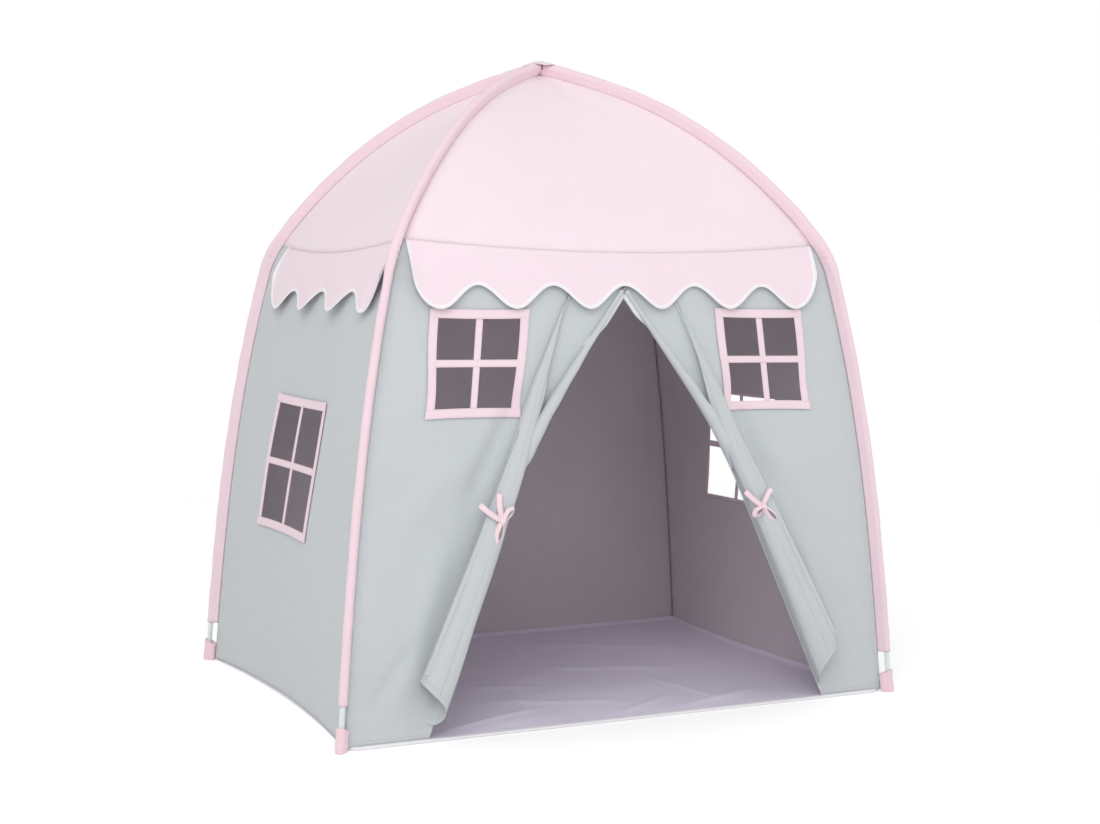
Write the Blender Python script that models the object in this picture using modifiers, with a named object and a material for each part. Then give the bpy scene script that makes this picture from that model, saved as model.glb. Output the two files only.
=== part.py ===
"""Kids play tent: four push-fit poles in fabric sleeves, a top hub, walls with window frames, a domed
roof with scalloped valances, a floor mat, and a zipped door whose two flaps are rolled outward and tied.
Metres, +Z up, origin on the floor under the hub. The door faces -Y."""
import math

import bmesh
import bpy
from mathutils import Matrix, Vector

# Pole lines, from the floor to the shoulders and on to the hub
foot_x = 0.640
foot_y = 0.478
shoulder_x = 0.503
shoulder_y = 0.412
shoulder_height = 0.975
peak_height = 1.385
leg_straight_share = 0.55
leg_curve_power = 3
rib_straight_share = 0.395
rib_curve_power = 2.62
bend_below = 0.050
bend_above = 0.070

# Poles, elbows and hub
pole_radius = 0.0055
pole_wall = 0.0009
pole_fit = 0.0005
pole_sides = 8
pipe_sides = 10
leg_joint_height = 0.480
leg_steps = 7
bend_steps = 5
rib_steps = 8
round_angle = math.radians(50)
spigot_length = 0.055
spigot_fit = 0.0005
elbow_fit = 0.0005
elbow_wall = 0.0012
elbow_below = 0.046
elbow_above = 0.046
elbow_stop_below = 0.014
elbow_stop_above = 0.013
hub_radius = 0.0145
hub_height = 0.0170
hub_reach = 0.042
hub_stop = 0.0115
rod_hub_gap = 0.0008
hub_socket_wall = 0.0012

# Cloth
cloth = 0.0007
seam_gap = 0.0010
sleeve_radius = 0.0092
sleeve_sides = 8
sleeve_tail = 0.0195
tail_half_gap = 0.0009
edge_gap = 0.0019
ankle_height = 0.090
sleeve_top_gap = 0.020
roof_top_gap = 0.010

# Foot pockets
pocket_height = 0.058
pocket_slant = 0.008
pocket_half_length = 0.0140
pocket_half_width = 0.0098
pocket_inward = 0.0048
pocket_floor = 0.0022
pocket_sides = 14

# Walls
hem_height = 0.0044
side_hem_lift = 0.014
back_hem_lift = 0.002
back_bow_low = 0.012
side_bow_low = 0.030
side_bow_high = 0.003
seam_above_shoulder = 0.036
seam_sag = 0.022
roof_sag = 0.016
wall_columns = 10
front_columns = 16
wall_rows = 10
roof_columns = 10
flat_margin = 0.050

# Windows
front_window_x = 0.334
front_window_z = 0.738
front_window_width = 0.215
front_window_height = 0.218
side_window_z = 0.500
side_window_back = 0.045
front_window_lean = 0.10
side_window_lean = 0.22
side_window_width = 0.330
side_window_height = 0.300
tape_width = 0.019
muntin_width = 0.015
tape_lap = 0.015
frame_stand_off = 0.0014
pane_splits = 2

# Valances
valance_inset = 0.004
front_waves = 2.5
side_waves = 1.5
corner_waves = 0.36
wave_steps = 6
corner_steps = 5
valance_rows = 4
front_hem_mean = 0.870
front_hem_wave = 0.0235
side_hem_mean = 0.862
side_hem_wave = 0.0200
valance_corner_rise = 0.085
valance_lift = 0.0085
side_flare = 0.020
valance_stand_off = 0.0014

# Floor mat
mat_thickness = 0.0040
mat_front_lip = 0.0090
mat_inset = 0.0030
mat_corner_cut = 0.0060
mat_columns = 12

# Door
door_top = 0.886
door_hem = 0.030
peak_half_angle = math.radians(36.3)
left_roll_angle = math.radians(21.8)
right_roll_angle = math.radians(23.3)
left_roll_inset = 0.100
right_roll_inset = 0.090
strip_gap = 0.0013
strip_top = 0.066
zip_half_gap = 0.0021
slot_length = 0.017
top_tape_start = 0.012
top_tape_end = 0.150
top_tape_width = 0.0085
strip_width_shares = (0.205, 0.227, 0.172, 0.157, 0.127, 0.112)
roll_turns = tuple(math.radians(a) for a in (83.3, 96.5, 90.7, 94.5, 90.1, 90.8))

# Zip slider and its pull
slider_length = 0.013
slider_width = 0.0088
slider_plate = 0.0014
slider_fit = 0.00035
slider_post_length = 0.008
slider_up = 0.0050
bail_radius = 0.0019
bail_wire = 0.00065
bail_sides = 16
pull_bar_fit = 0.00035
pull_width = 0.0056
pull_arm = 0.0012
pull_arm_length = 0.0050
pull_tab_length = 0.0110
pull_thickness = 0.0010

# Ribbon bows
bow_drop = 0.468
bow_outward = 0.012
ribbon_width = 0.0105
ribbon_thickness = 0.0008
knot_length = 0.0120
knot_width = 0.0100
knot_height = 0.0070
bow_loop_length = 0.034
bow_loop_height = 0.0075
bow_loop_middles = (0.0052, 0.0049)
bow_end_length = 0.052
bow_end_starts = (0.0046, 0.0026)
bow_end_rise = 0.0030
bow_end_drop = 0.0022
bow_stand_off = 0.0004
bow_end_turns = (math.radians(152), math.radians(232))
bow_loop_turns = (math.radians(20), math.radians(292))
overrun = 0.020

corners = {"front_left": (-1, -1), "front_right": (1, -1), "back_left": (-1, 1), "back_right": (1, 1)}


def clear_scene():
    for thing in list(bpy.data.objects):
        bpy.data.objects.remove(thing, do_unlink=True)


def collection(name, helper=False):
    made = bpy.data.collections.new(name)
    bpy.context.scene.collection.children.link(made)
    made.hide_render = helper
    return made


def srgb(level):
    share = level / 255
    return share / 12.92 if share <= 0.04045 else ((share + 0.055) / 1.055) ** 2.4


def material(name, rgb, roughness, metallic=0.0):
    made = bpy.data.materials.new(name)
    made.use_nodes = True
    surface = made.node_tree.nodes["Principled BSDF"]
    surface.inputs["Base Color"].default_value = (srgb(rgb[0]), srgb(rgb[1]), srgb(rgb[2]), 1)
    surface.inputs["Roughness"].default_value = roughness
    surface.inputs["Metallic"].default_value = metallic
    return made


# Pole line and what is measured from it


def unit_sum(length, run):
    """Share of the way, held between 0 and 1."""
    return min(max(length / run, 0.0), 1.0)


def plain_spine(t):
    """Pole centre in the +X +Y quarter: t runs 0 to 1 up the leg and 1 to 2 up the rib."""
    if t <= 1:
        inset = leg_straight_share * t + (1 - leg_straight_share) * t**leg_curve_power
        return Vector((
            foot_x - (foot_x - shoulder_x) * inset,
            foot_y - (foot_y - shoulder_y) * inset,
            shoulder_height * t,
        ))
    left = max(2 - t, 0.0)
    rise = rib_straight_share * (1 - left) + (1 - rib_straight_share) * (1 - left**rib_curve_power)
    height = shoulder_height + (peak_height - shoulder_height) * rise
    return Vector((shoulder_x * left, shoulder_y * left, height))


def rib_length():
    places = [plain_spine(1 + k / 60) for k in range(61)]
    return sum((b - a).length for a, b in zip(places, places[1:]))


RIB = rib_length()
BEND_FROM = 1 - bend_below / shoulder_height
BEND_TO = 1 + bend_above / RIB


def up_leg(height):
    return height / shoulder_height


def up_rib(length):
    """t at this distance above the shoulder, along the rib."""
    t, gone, last = 1.0, 0.0, plain_spine(1.0)
    while t < 2:
        here = plain_spine(t + 0.002)
        step = (here - last).length
        if gone + step >= length:
            return t + 0.002 * (length - gone) / step
        gone, last, t = gone + step, here, t + 0.002
    return 2.0


def from_peak(length):
    """t at this distance from the hub's centre, along the rib."""
    return up_rib(RIB - length)


def spine(t):
    if not BEND_FROM < t < BEND_TO:
        return plain_spine(t)
    share = (t - BEND_FROM) / (BEND_TO - BEND_FROM)
    low = plain_spine(BEND_FROM).lerp(plain_spine(1.0), share)
    high = plain_spine(1.0).lerp(plain_spine(BEND_TO), share)
    return low.lerp(high, share)


def frame_at(t):
    """Centre, direction, outward and sideways unit vectors of the pole line at t."""
    step = 0.004
    low, high = max(t - step, 0.0), min(t + step, 2.0)
    along = (spine(high) - spine(low)).normalized()
    out = Vector((1.0, 1.0, 1.5 * max(t - 1, 0.0)))
    out = (out - along * out.dot(along)).normalized()
    return spine(t), along, out, along.cross(out)


def seam(t):
    """Corner seam: the tip of the sleeve's tail."""
    centre, _, out, _ = frame_at(t)
    return centre - out * sleeve_tail


def seam_at_height(z):
    low, high = 0.0, 1.3
    for _ in range(34):
        middle = (low + high) / 2
        if seam(middle).z < z:
            low = middle
        else:
            high = middle
    return seam((low + high) / 2)


SEAM_TABLE = {}


def seam_xy(z):
    """X and Y of the corner seam at this height, read between evenly spaced heights."""
    share = z / shoulder_height * 120
    low = math.floor(share)
    for k in (low, low + 1):
        if k not in SEAM_TABLE:
            SEAM_TABLE[k] = seam_at_height(max(k, 0) / 120 * shoulder_height)
    return SEAM_TABLE[low].lerp(SEAM_TABLE[low + 1], share - low)


def smooth(share):
    share = min(max(share, 0.0), 1.0)
    return share * share * (3 - 2 * share)


T_SEAM = up_rib(seam_above_shoulder)
SEAM_TOP = seam(T_SEAM)


# Door plane


def door_frame():
    """Places the door's flat plane: X to the right, Y up the slope, Z out of the tent, origin at its top."""
    top = Vector((0, -seam_xy(door_top).y, door_top))
    base = Vector((0, -seam_xy(0.0).y, 0))
    right = Vector((1, 0, 0))
    up = (top - base).normalized()
    out = right.cross(up)
    made = Matrix((right, up, out)).transposed().to_4x4()
    made.translation = top
    return made, (top - base).length


DOOR, DOOR_SLOPE = door_frame()
HEM_DOWN = DOOR_SLOPE * (1 - door_hem / door_top)


def roll_angle(side):
    return left_roll_angle if side < 0 else right_roll_angle


def roll_inset(side):
    """How far from the door's middle a flap's first fold line passes at the height of the door's top."""
    return left_roll_inset if side < 0 else right_roll_inset


def roll_rise(side):
    """Height above the door's top of the point where all of a flap's fold lines meet."""
    return roll_inset(side) / math.tan(roll_angle(side))


def kink(side):
    """Depth below the door's top at which its steep upper edge turns into the first fold line."""
    return roll_inset(side) / (math.tan(peak_half_angle) - math.tan(roll_angle(side)))


def door_edge(z):
    """Distance of the wider door edge from the middle at this height."""
    depth = max(door_top - z, 0.0)
    return max(roll_inset(side) + depth * math.tan(roll_angle(side)) for side in (-1, 1))


def ruling(side, angle):
    return Vector((side * math.sin(angle), -math.cos(angle), 0))


def fold_frame(side):
    """The door's frame, raised to the point where the flap's fold lines meet."""
    return DOOR @ Matrix.Translation((0, roll_rise(side), 0))


def strip_angles(side):
    """Angles of the fold lines from the middle of the door, the wall's edge first."""
    total = sum(strip_width_shares)
    angle = roll_angle(side)
    found = [angle]
    for share in strip_width_shares:
        found.append(found[-1] - angle * share / total)
    found[-1] = 0.0
    return found


def rolled(side, count):
    """Turn about the fold lines' meeting point that carries flat strip number count into the tied roll."""
    turn = Matrix.Identity(4)
    angles = strip_angles(side)
    for k in range(count):
        turn = turn @ Matrix.Rotation(roll_turns[k], 4, -side * ruling(side, angles[k]))
    return turn


# Wall surfaces, as the middle of the cloth


def front_y(x, z):
    """Front wall, which is flat round the door and follows the poles at its sides."""
    edge = seam_xy(z)
    base, top = seam_xy(0.0).y, seam_xy(door_top).y
    flat = base + (top - base) * z / door_top
    inner = door_edge(z) + flat_margin
    share = smooth((abs(x) - inner) / max(edge.x - edge_gap - inner, flat_margin))
    return -(flat + (edge.y - flat) * share)


def bow(share, z, low=side_bow_low):
    """How far a side or back wall is drawn in between its poles."""
    height = unit_sum(z, SEAM_TOP.z)
    return (low * (1 - height) ** 1.5 + side_bow_high * math.sin(math.pi * height)) * (1 - share**2)


def side_x(y, z):
    edge = seam_xy(z)
    return edge.x - bow(min(abs(y) / edge.y, 1.0), z)


def back_y(x, z):
    edge = seam_xy(z)
    return edge.y - bow(min(abs(x) / edge.x, 1.0), z, back_bow_low)


def seam_drop(u):
    return seam_sag * (1 - u**2)


def wall_height(u, v, lift):
    """Height of the wall's grid: hem at v 0, roof seam at v 1."""
    low = hem_height + lift * (1 - u**2)
    high = SEAM_TOP.z - seam_gap / 2 - seam_drop(u)
    return low + (high - low) * v


# Makers


def shade_round(mesh):
    """Smooth across the faces of a round, but not over its edges."""
    mesh.shade_smooth()
    mesh.set_sharp_from_angle(angle=round_angle)


def place_object(name, mesh, surface, group, matrix=None):
    made = bpy.data.objects.new(name, mesh)
    group.objects.link(made)
    mesh.materials.append(surface)
    if matrix is not None:
        made.matrix_world = matrix
    return made


def grid(name, across, along, place, thick, surface, group, keep=None, wrap=False, matrix=None):
    """A grid whose corners go to place(u, v), u and v from 0 to 1, made solid about its middle."""
    form = bmesh.new()
    bmesh.ops.create_grid(form, x_segments=across, y_segments=along, size=0.5)
    if keep:
        gone = [f for f in form.faces if not keep(*[c + 0.5 for c in f.calc_center_median()[:2]])]
        bmesh.ops.delete(form, geom=gone, context="FACES")
    for vert in form.verts:
        vert.co = place(vert.co.x + 0.5, vert.co.y + 0.5)
    if wrap:
        bmesh.ops.remove_doubles(form, verts=form.verts, dist=cloth / 100)
    bmesh.ops.recalc_face_normals(form, faces=form.faces)
    mesh = bpy.data.meshes.new(name)
    form.to_mesh(mesh)
    form.free()
    shade_round(mesh)
    made = place_object(name, mesh, surface, group, matrix)
    skin = made.modifiers.new("Thickness", "SOLIDIFY")
    skin.thickness = thick
    skin.offset = 0
    skin.use_even_offset = True
    skin.use_quality_normals = True
    return made


def cube(name, size, centre, surface, group, matrix=None):
    form = bmesh.new()
    bmesh.ops.create_cube(form, size=1)
    for vert in form.verts:
        vert.co = Vector([c * s + m for c, s, m in zip(vert.co, size, centre)])
    mesh = bpy.data.meshes.new(name)
    form.to_mesh(mesh)
    form.free()
    return place_object(name, mesh, surface, group, matrix)


def slab(name, outline, low, high, surface, group, matrix=None, flat="z"):
    """A cube whose four upright edges stand on the outline's four points, listed anticlockwise."""
    form = bmesh.new()
    bmesh.ops.create_cube(form, size=1)
    for vert in form.verts:
        index = (0 if vert.co.y < 0 else 3) if vert.co.x < 0 else (1 if vert.co.y < 0 else 2)
        a, b = outline[index]
        level = high if vert.co.z > 0 else low
        vert.co = Vector((a, b, level)) if flat == "z" else Vector((a, -level, b))
    mesh = bpy.data.meshes.new(name)
    form.to_mesh(mesh)
    form.free()
    return place_object(name, mesh, surface, group, matrix)


def round_bar(name, radius, start, end, sides, surface, group):
    form = bmesh.new()
    length = (end - start).length
    bmesh.ops.create_cone(form, cap_ends=True, segments=sides, radius1=radius, radius2=radius, depth=length)
    mesh = bpy.data.meshes.new(name)
    form.to_mesh(mesh)
    form.free()
    shade_round(mesh)
    turn = (end - start).to_track_quat("Z", "Y").to_matrix().to_4x4()
    turn.translation = (start + end) / 2
    return place_object(name, mesh, surface, group, turn)


def cut(target, cutter, operation="DIFFERENCE"):
    cutter.hide_render = True
    cutter.display_type = "WIRE"
    change = target.modifiers.new(operation.title(), "BOOLEAN")
    change.operation = operation
    change.solver = "EXACT"
    change.object = cutter


def stations(low, high):
    """Places along the pole line from low to high, closer together round the bend."""
    bends = BEND_TO - BEND_FROM
    steps = [k / leg_steps * BEND_FROM for k in range(leg_steps + 1)]
    steps += [BEND_FROM + bends * k / bend_steps for k in range(1, bend_steps + 1)]
    steps += [BEND_TO + (2 - BEND_TO) * k / rib_steps for k in range(1, rib_steps + 1)]
    least = bends / bend_steps / 4
    return [low] + [t for t in steps if low + least < t < high - least] + [high]


def at_corner(point, signs):
    return Vector((point.x * signs[0], point.y * signs[1], point.z))


def pole(name, low, high, signs, surface, group, spigot=0.0):
    """A round rod along the pole line, with a thinner spigot on its lower end."""
    places = [(t, 1.0) for t in stations(low, high)]
    if spigot:
        thin = (pole_radius - pole_wall - spigot_fit) * math.cos(math.pi / pipe_sides) / pole_radius
        tip = low - up_leg(spigot)
        places = [(tip, thin), (low, thin), (low + up_leg(cloth), 1.0)] + places[1:]
    curve = bpy.data.curves.new(name, "CURVE")
    curve.dimensions = "3D"
    curve.bevel_depth = pole_radius
    curve.bevel_resolution = pole_sides // 2 - 2
    curve.use_fill_caps = True
    line = curve.splines.new("POLY")
    line.points.add(len(places) - 1)
    for point, (t, share) in zip(line.points, places):
        point.co = (*at_corner(spine(t), signs), 1)
        point.radius = share
    made = bpy.data.objects.new(name, curve)
    group.objects.link(made)
    curve.materials.append(surface)
    return made


def pipe(name, low, high, inner, wall, signs, surface, group):
    """A tube along the pole line, open at both ends."""
    steps = stations(low, high)
    radius = (inner + wall / 2) / math.cos(math.pi / pipe_sides)

    def place(u, v):
        centre, _, out, side = frame_at(steps[round(v * (len(steps) - 1))])
        turn = 2 * math.pi * round(u * pipe_sides) / pipe_sides
        return at_corner(centre + (out * math.cos(turn) + side * math.sin(turn)) * radius, signs)

    return grid(name, pipe_sides, len(steps) - 1, place, wall, surface, group, wrap=True)


# Pieces


def make_frame(group, tools, looks):
    joint = up_leg(leg_joint_height)
    for where, signs in corners.items():
        inner = pole_radius - pole_wall
        pipe_inner = inner * math.cos(math.pi / pipe_sides)
        pipe("leg_pole_lower_" + where, up_leg(pocket_floor + pole_fit), joint, pipe_inner, pole_wall, signs,
             looks["tube"], group)
        pole("leg_pole_upper_" + where, joint + up_leg(seam_gap), 1 - up_leg(elbow_stop_below), signs,
             looks["tube"], group, spigot_length)
        pipe("shoulder_elbow_" + where, 1 - up_leg(elbow_below), up_rib(elbow_above), pole_radius + elbow_fit,
             elbow_wall, signs, looks["plastic"], group)
        pole("roof_rod_" + where, up_rib(elbow_stop_above), from_peak(hub_stop + rod_hub_gap), signs,
             looks["tube"], group)
    make_hub(group, tools, looks)


def make_hub(group, tools, looks):
    peak = Vector((0, 0, peak_height))
    half = Vector((0, 0, hub_height / 2))
    hub = round_bar("top_hub", hub_radius, peak - half, peak + half, 2 * pipe_sides, looks["plastic"], group)
    bore = (pole_radius + elbow_fit) / math.cos(math.pi / pipe_sides)
    sockets = []
    for signs in corners.values():
        direction = (at_corner(plain_spine(from_peak(hub_reach)), signs) - peak).normalized()
        sockets.append((signs, direction))
    for signs, direction in sockets:
        arm = round_bar("hub_arm_helper", bore + hub_socket_wall, peak, peak + direction * hub_reach,
                        pipe_sides, looks["plastic"], tools)
        cut(hub, arm, "UNION")
    for signs, direction in sockets:
        hole = round_bar("hub_bore_helper", bore, peak + direction * hub_stop,
                         peak + direction * (hub_reach + overrun), pipe_sides, looks["plastic"], tools)
        cut(hub, hole)


def sleeve_section():
    """Points of the folded strip round the pole: outward and sideways distances, tail tip to tail tip."""
    lead = math.pi - math.asin(tail_half_gap / sleeve_radius)
    arc = [lead - 2 * lead * k / sleeve_sides for k in range(sleeve_sides + 1)]
    ring = [(sleeve_radius * math.cos(a), sleeve_radius * math.sin(a)) for a in arc]
    neck = -(sleeve_radius + (sleeve_tail - sleeve_radius) / 3)
    tail = [(-sleeve_tail, tail_half_gap), (neck, tail_half_gap)]
    return tail + ring[1:-1] + [(a, -b) for a, b in reversed(tail)]


def make_sleeves(group, looks):
    section = sleeve_section()
    steps = stations(up_leg(ankle_height), from_peak(sleeve_top_gap))
    for where, signs in corners.items():

        def place(u, v, signs=signs):
            centre, _, out, side = frame_at(steps[round(v * (len(steps) - 1))])
            a, b = section[round(u * (len(section) - 1))]
            return at_corner(centre + out * a + side * b, signs)

        grid("pole_sleeve_" + where, len(section) - 1, len(steps) - 1, place, cloth, looks["pink"], group)


def make_pockets(group, tools, looks):
    for where, signs in corners.items():
        form = bmesh.new()
        bmesh.ops.create_cone(form, cap_ends=True, segments=pocket_sides, radius1=1, radius2=1, depth=1)
        for vert in form.verts:
            a = vert.co.x * pocket_half_length - pocket_inward
            b = vert.co.y * pocket_half_width
            z = 0.0 if vert.co.z < 0 else pocket_height + pocket_slant * vert.co.x
            centre = spine(up_leg(z))
            out = Vector((1, 1, 0)).normalized()
            side = Vector((-1, 1, 0)).normalized()
            vert.co = at_corner(Vector((centre.x, centre.y, z)) + out * a + side * b, signs)
        bmesh.ops.recalc_face_normals(form, faces=form.faces)
        mesh = bpy.data.meshes.new("foot_pocket_" + where)
        form.to_mesh(mesh)
        form.free()
        shade_round(mesh)
        pocket = place_object("foot_pocket_" + where, mesh, looks["deep_pink"], group)
        low = at_corner(spine(up_leg(pocket_floor)), signs)
        high = at_corner(spine(up_leg(pocket_height + pocket_slant + overrun)), signs)
        bore = (pole_radius + pole_fit) / math.cos(math.pi / pipe_sides)
        cut(pocket, round_bar("pocket_bore_helper", bore, low, high, pipe_sides, looks["plastic"], tools))


def make_walls(group, tools, looks):
    def front(u, v):
        z = wall_height(2 * u - 1, v, 0.0)
        edge = seam_xy(z)
        x = (2 * u - 1) * (edge.x - edge_gap)
        return Vector((x, front_y(x, z), z))

    def back(u, v):
        z = wall_height(2 * u - 1, v, back_hem_lift)
        x = (2 * u - 1) * (seam_xy(z).x - edge_gap)
        return Vector((x, back_y(x, z), z))

    def side(sign):
        def place(u, v):
            z = wall_height(2 * u - 1, v, side_hem_lift)
            y = (2 * u - 1) * (seam_xy(z).y - edge_gap)
            return Vector((sign * side_x(y, z), y, z))

        return place

    walls = {
        "front": grid("wall_front", front_columns, wall_rows, front, cloth, looks["grey"], group),
        "back": grid("wall_back", wall_columns, wall_rows, back, cloth, looks["grey"], group),
        "left": grid("wall_left", wall_columns, wall_rows, side(-1), cloth, looks["grey"], group),
        "right": grid("wall_right", wall_columns, wall_rows, side(1), cloth, looks["grey"], group),
    }
    cut_doorway(walls["front"], tools, looks)
    for sign in (-1, 1):
        outline = leaning(front_window_width, front_window_height, sign * front_window_x, front_window_z,
                          sign * front_window_lean)
        hole = slab("window_hole_helper", outline, foot_y / 2, foot_y * 2, looks["plastic"], tools, flat="y")
        cut(walls["front"], hole)
    for sign, name in ((-1, "left"), (1, "right")):
        outline = leaning(side_window_width, side_window_height, side_window_back, side_window_z,
                          side_window_lean)
        outline = [(sign * a, b) for a, b in outline]
        if sign < 0:
            outline = [outline[1], outline[0], outline[3], outline[2]]
        turn = Matrix.Rotation(sign * math.pi / 2, 4, "Z")
        hole = slab("window_hole_helper", outline, foot_x / 2, foot_x * 2, looks["plastic"], tools, turn,
                    flat="y")
        cut(walls[name], hole)


def leaning(width, height, centre, level, lean):
    """Outline of a window's hole, inside its frame's tape, whose foot leans outwards or back."""
    half, rise = width / 2 - tape_lap, height / 2 - tape_lap
    foot, head = centre + rise * lean, centre - rise * lean
    return [(foot - half, level - rise), (foot + half, level - rise), (head + half, level + rise),
            (head - half, level + rise)]


def cut_doorway(wall, tools, looks):
    """On each side a steep edge from the door's top to the kink, then an edge half a strip gap outside the
    first fold line; and the zip's slot above the top."""
    drop = DOOR.to_3x3() @ Vector((0, -1, 0))
    top = door_top
    for side in (-1, 1):
        upper = strip_gap / 2 / math.cos(peak_half_angle)
        lower = strip_gap / 2 / math.cos(roll_angle(side))
        bend = -kink(side) * drop.z
        deep = door_top + overrun
        bend_x = side * (upper + kink(side) * math.tan(peak_half_angle))
        foot_edge_x = side * (lower + roll_inset(side) + deep * math.tan(roll_angle(side)))
        across = -side * zip_half_gap
        peak = [(across, top - bend - seam_gap), (bend_x, top - bend), (side * upper, top), (across, top)]
        low = [(across, top - deep), (foot_edge_x, top - deep), (bend_x, top - bend), (across, top - bend)]
        for name, outline in (("upper", peak), ("lower", low)):
            if side < 0:
                outline = [outline[1], outline[0], outline[3], outline[2]]
            piece = slab("doorway_%s_helper" % name, outline, foot_y / 2, foot_y * 2, looks["plastic"], tools,
                         flat="y")
            cut(wall, piece)
    low = door_top - zip_half_gap / math.tan(peak_half_angle) * 2
    slot = [(-zip_half_gap, low), (zip_half_gap, low), (zip_half_gap, door_top + slot_length),
            (-zip_half_gap, door_top + slot_length)]
    cut(wall, slab("zip_slot_helper", slot, foot_y / 2, foot_y * 2, looks["plastic"], tools, flat="y"))


def make_roof(group, looks):
    t_top = from_peak(roof_top_gap)
    steps = stations(T_SEAM, t_top)

    def edge(v, beside):
        """Where the panel meets the sleeve's tail: under its tip and to one side of it."""
        t = steps[round(v * (len(steps) - 1))]
        centre, _, out, side = frame_at(t)
        below = centre - out * (sleeve_tail + edge_gap * (1 - smooth(1 - v * len(steps))))
        return below + side * edge_gap * beside, (t - T_SEAM) / (t_top - T_SEAM)

    def panel(axis, sign):
        def place(u, v):
            corner, share = edge(v, 1 if axis == "x" else -1)
            across = 2 * u - 1
            drawn = roof_sag * math.sin(math.pi * share) * (1 - across**2)
            z = corner.z - seam_drop(across) * (1 - share) - drawn
            if v == 0:
                z = SEAM_TOP.z + seam_gap / 2 - seam_drop(across)
                if axis == "x":
                    x = across * (SEAM_TOP.x - edge_gap)
                    return Vector((x, front_y(x, z) if sign < 0 else back_y(x, z), z))
                y = across * (SEAM_TOP.y - edge_gap)
                return Vector((sign * side_x(y, z), y, z))
            if axis == "x":
                return Vector((across * corner.x, sign * (corner.y - drawn), z))
            return Vector((sign * (corner.x - drawn), across * corner.y, z))

        return place

    for name, axis, sign in (("front", "x", -1), ("back", "x", 1), ("left", "y", -1), ("right", "y", 1)):
        grid("roof_panel_" + name, roof_columns, len(steps) - 1, panel(axis, sign), cloth, looks["pink"],
             group)


def valance_columns(waves, half):
    """Distances from the middle, evenly spaced along the waves and closer together at the rounded corner."""
    wave = half / (waves + corner_waves)
    steps = round(waves * wave_steps)
    found = [wave * waves * k / steps for k in range(steps + 1)]
    turns = [math.sin(math.pi / 2 * k / corner_steps) for k in range(1, corner_steps + 1)]
    found += [wave * (waves + corner_waves * t) for t in turns]
    return [-d for d in reversed(found[1:])] + found


def valance_hem(distance, waves, half, mean, size):
    """Height of the hem, and 0 to 1 for how far it swings out: a wave with its peak in the middle, then a
    rounded corner."""
    wave = half / (waves + corner_waves)
    if distance <= waves * wave:
        height = math.cos(2 * math.pi * distance / wave)
        return mean + size * height, 0.5 - 0.5 * height
    share = min((distance - waves * wave) / (corner_waves * wave), 1.0)
    return mean - size + valance_corner_rise * (1 - math.sqrt(1 - share**2)), 1.0


def make_valances(group, looks):
    def build(name, axis, sign):
        across_x = axis == "x"
        half = (SEAM_TOP.x if across_x else SEAM_TOP.y) - edge_gap - valance_inset
        waves = front_waves if across_x else side_waves
        mean, size = (front_hem_mean, front_hem_wave) if across_x else (side_hem_mean, side_hem_wave)
        columns = valance_columns(waves, half)

        def place(u, v):
            d = columns[round(u * (len(columns) - 1))]
            top = SEAM_TOP.z - seam_gap / 2 - seam_drop(d / half)
            hem, swing = valance_hem(abs(d), waves, half, mean, size)
            z = top + (hem - top) * v
            stand = valance_stand_off + valance_lift * v
            if name != "front":
                stand += side_flare * v**2 * swing
            if not across_x:
                return Vector((sign * (side_x(d, z) + stand), d, z))
            return Vector((d, (front_y(d, z) if sign < 0 else back_y(d, z)) + sign * stand, z))

        steps = len(columns) - 1
        grid("valance_" + name, steps, valance_rows, place, cloth, looks["pink"], group)

    for name, axis, sign in (("front", "x", -1), ("back", "x", 1), ("left", "y", -1), ("right", "y", 1)):
        build(name, axis, sign)


def frame_lines(width, height):
    """Grid lines of a window frame across and up: tape, panes split in steps, muntin, panes, tape."""
    found = []
    for size in (width, height):
        half = size / 2
        pane = half - tape_width - muntin_width / 2
        right = [muntin_width / 2 + pane * k / pane_splits for k in range(pane_splits + 1)] + [half]
        found.append([-p for p in reversed(right)] + right)
    return found


def make_windows(group, looks):
    def build(name, width, height, place):
        across, up = frame_lines(width, height)

        def keep(u, v):
            found = []
            for share, lines in ((u, across), (v, up)):
                cell = int(share * (len(lines) - 1))
                found.append(cell in (0, len(lines) // 2 - 1, len(lines) - 2))
            return any(found)

        def at(u, v):
            return place(across[round(u * (len(across) - 1))], up[round(v * (len(up) - 1))])

        grid(name, len(across) - 1, len(up) - 1, at, cloth, looks["pink"], group, keep=keep)

    for name, sign in (("front_left", -1), ("front_right", 1)):
        def front(a, b, sign=sign):
            x, z = sign * (front_window_x - b * front_window_lean) + a, front_window_z + b
            return Vector((x, front_y(x, z) - frame_stand_off, z))

        build("window_frame_" + name, front_window_width, front_window_height, front)
    for name, sign in (("left", -1), ("right", 1)):
        def side(a, b, sign=sign):
            y, z = side_window_back + a - b * side_window_lean, side_window_z + b
            return Vector((sign * (side_x(y, z) + frame_stand_off), y, z))

        build("window_frame_" + name, side_window_width, side_window_height, side)


def make_mat(group, looks):
    corner = seam_xy(0.0)

    def place(u, v):
        a, b = 2 * u - 1, 2 * v - 1
        half = corner.x - mat_inset - side_bow_low * (1 - b**2)
        x = a * half
        near = 1 - smooth((1 - abs(a)) * half / (4 * mat_corner_cut))
        front = corner.y + mat_front_lip - (mat_front_lip + mat_corner_cut) * near
        back = corner.y - mat_inset - back_bow_low * (1 - a**2)
        depth = front if b < 0 else back
        return Vector((x, b * depth, mat_thickness / 2))

    grid("floor_mat", mat_columns, mat_columns, place, mat_thickness, looks["lavender"], group)


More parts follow.
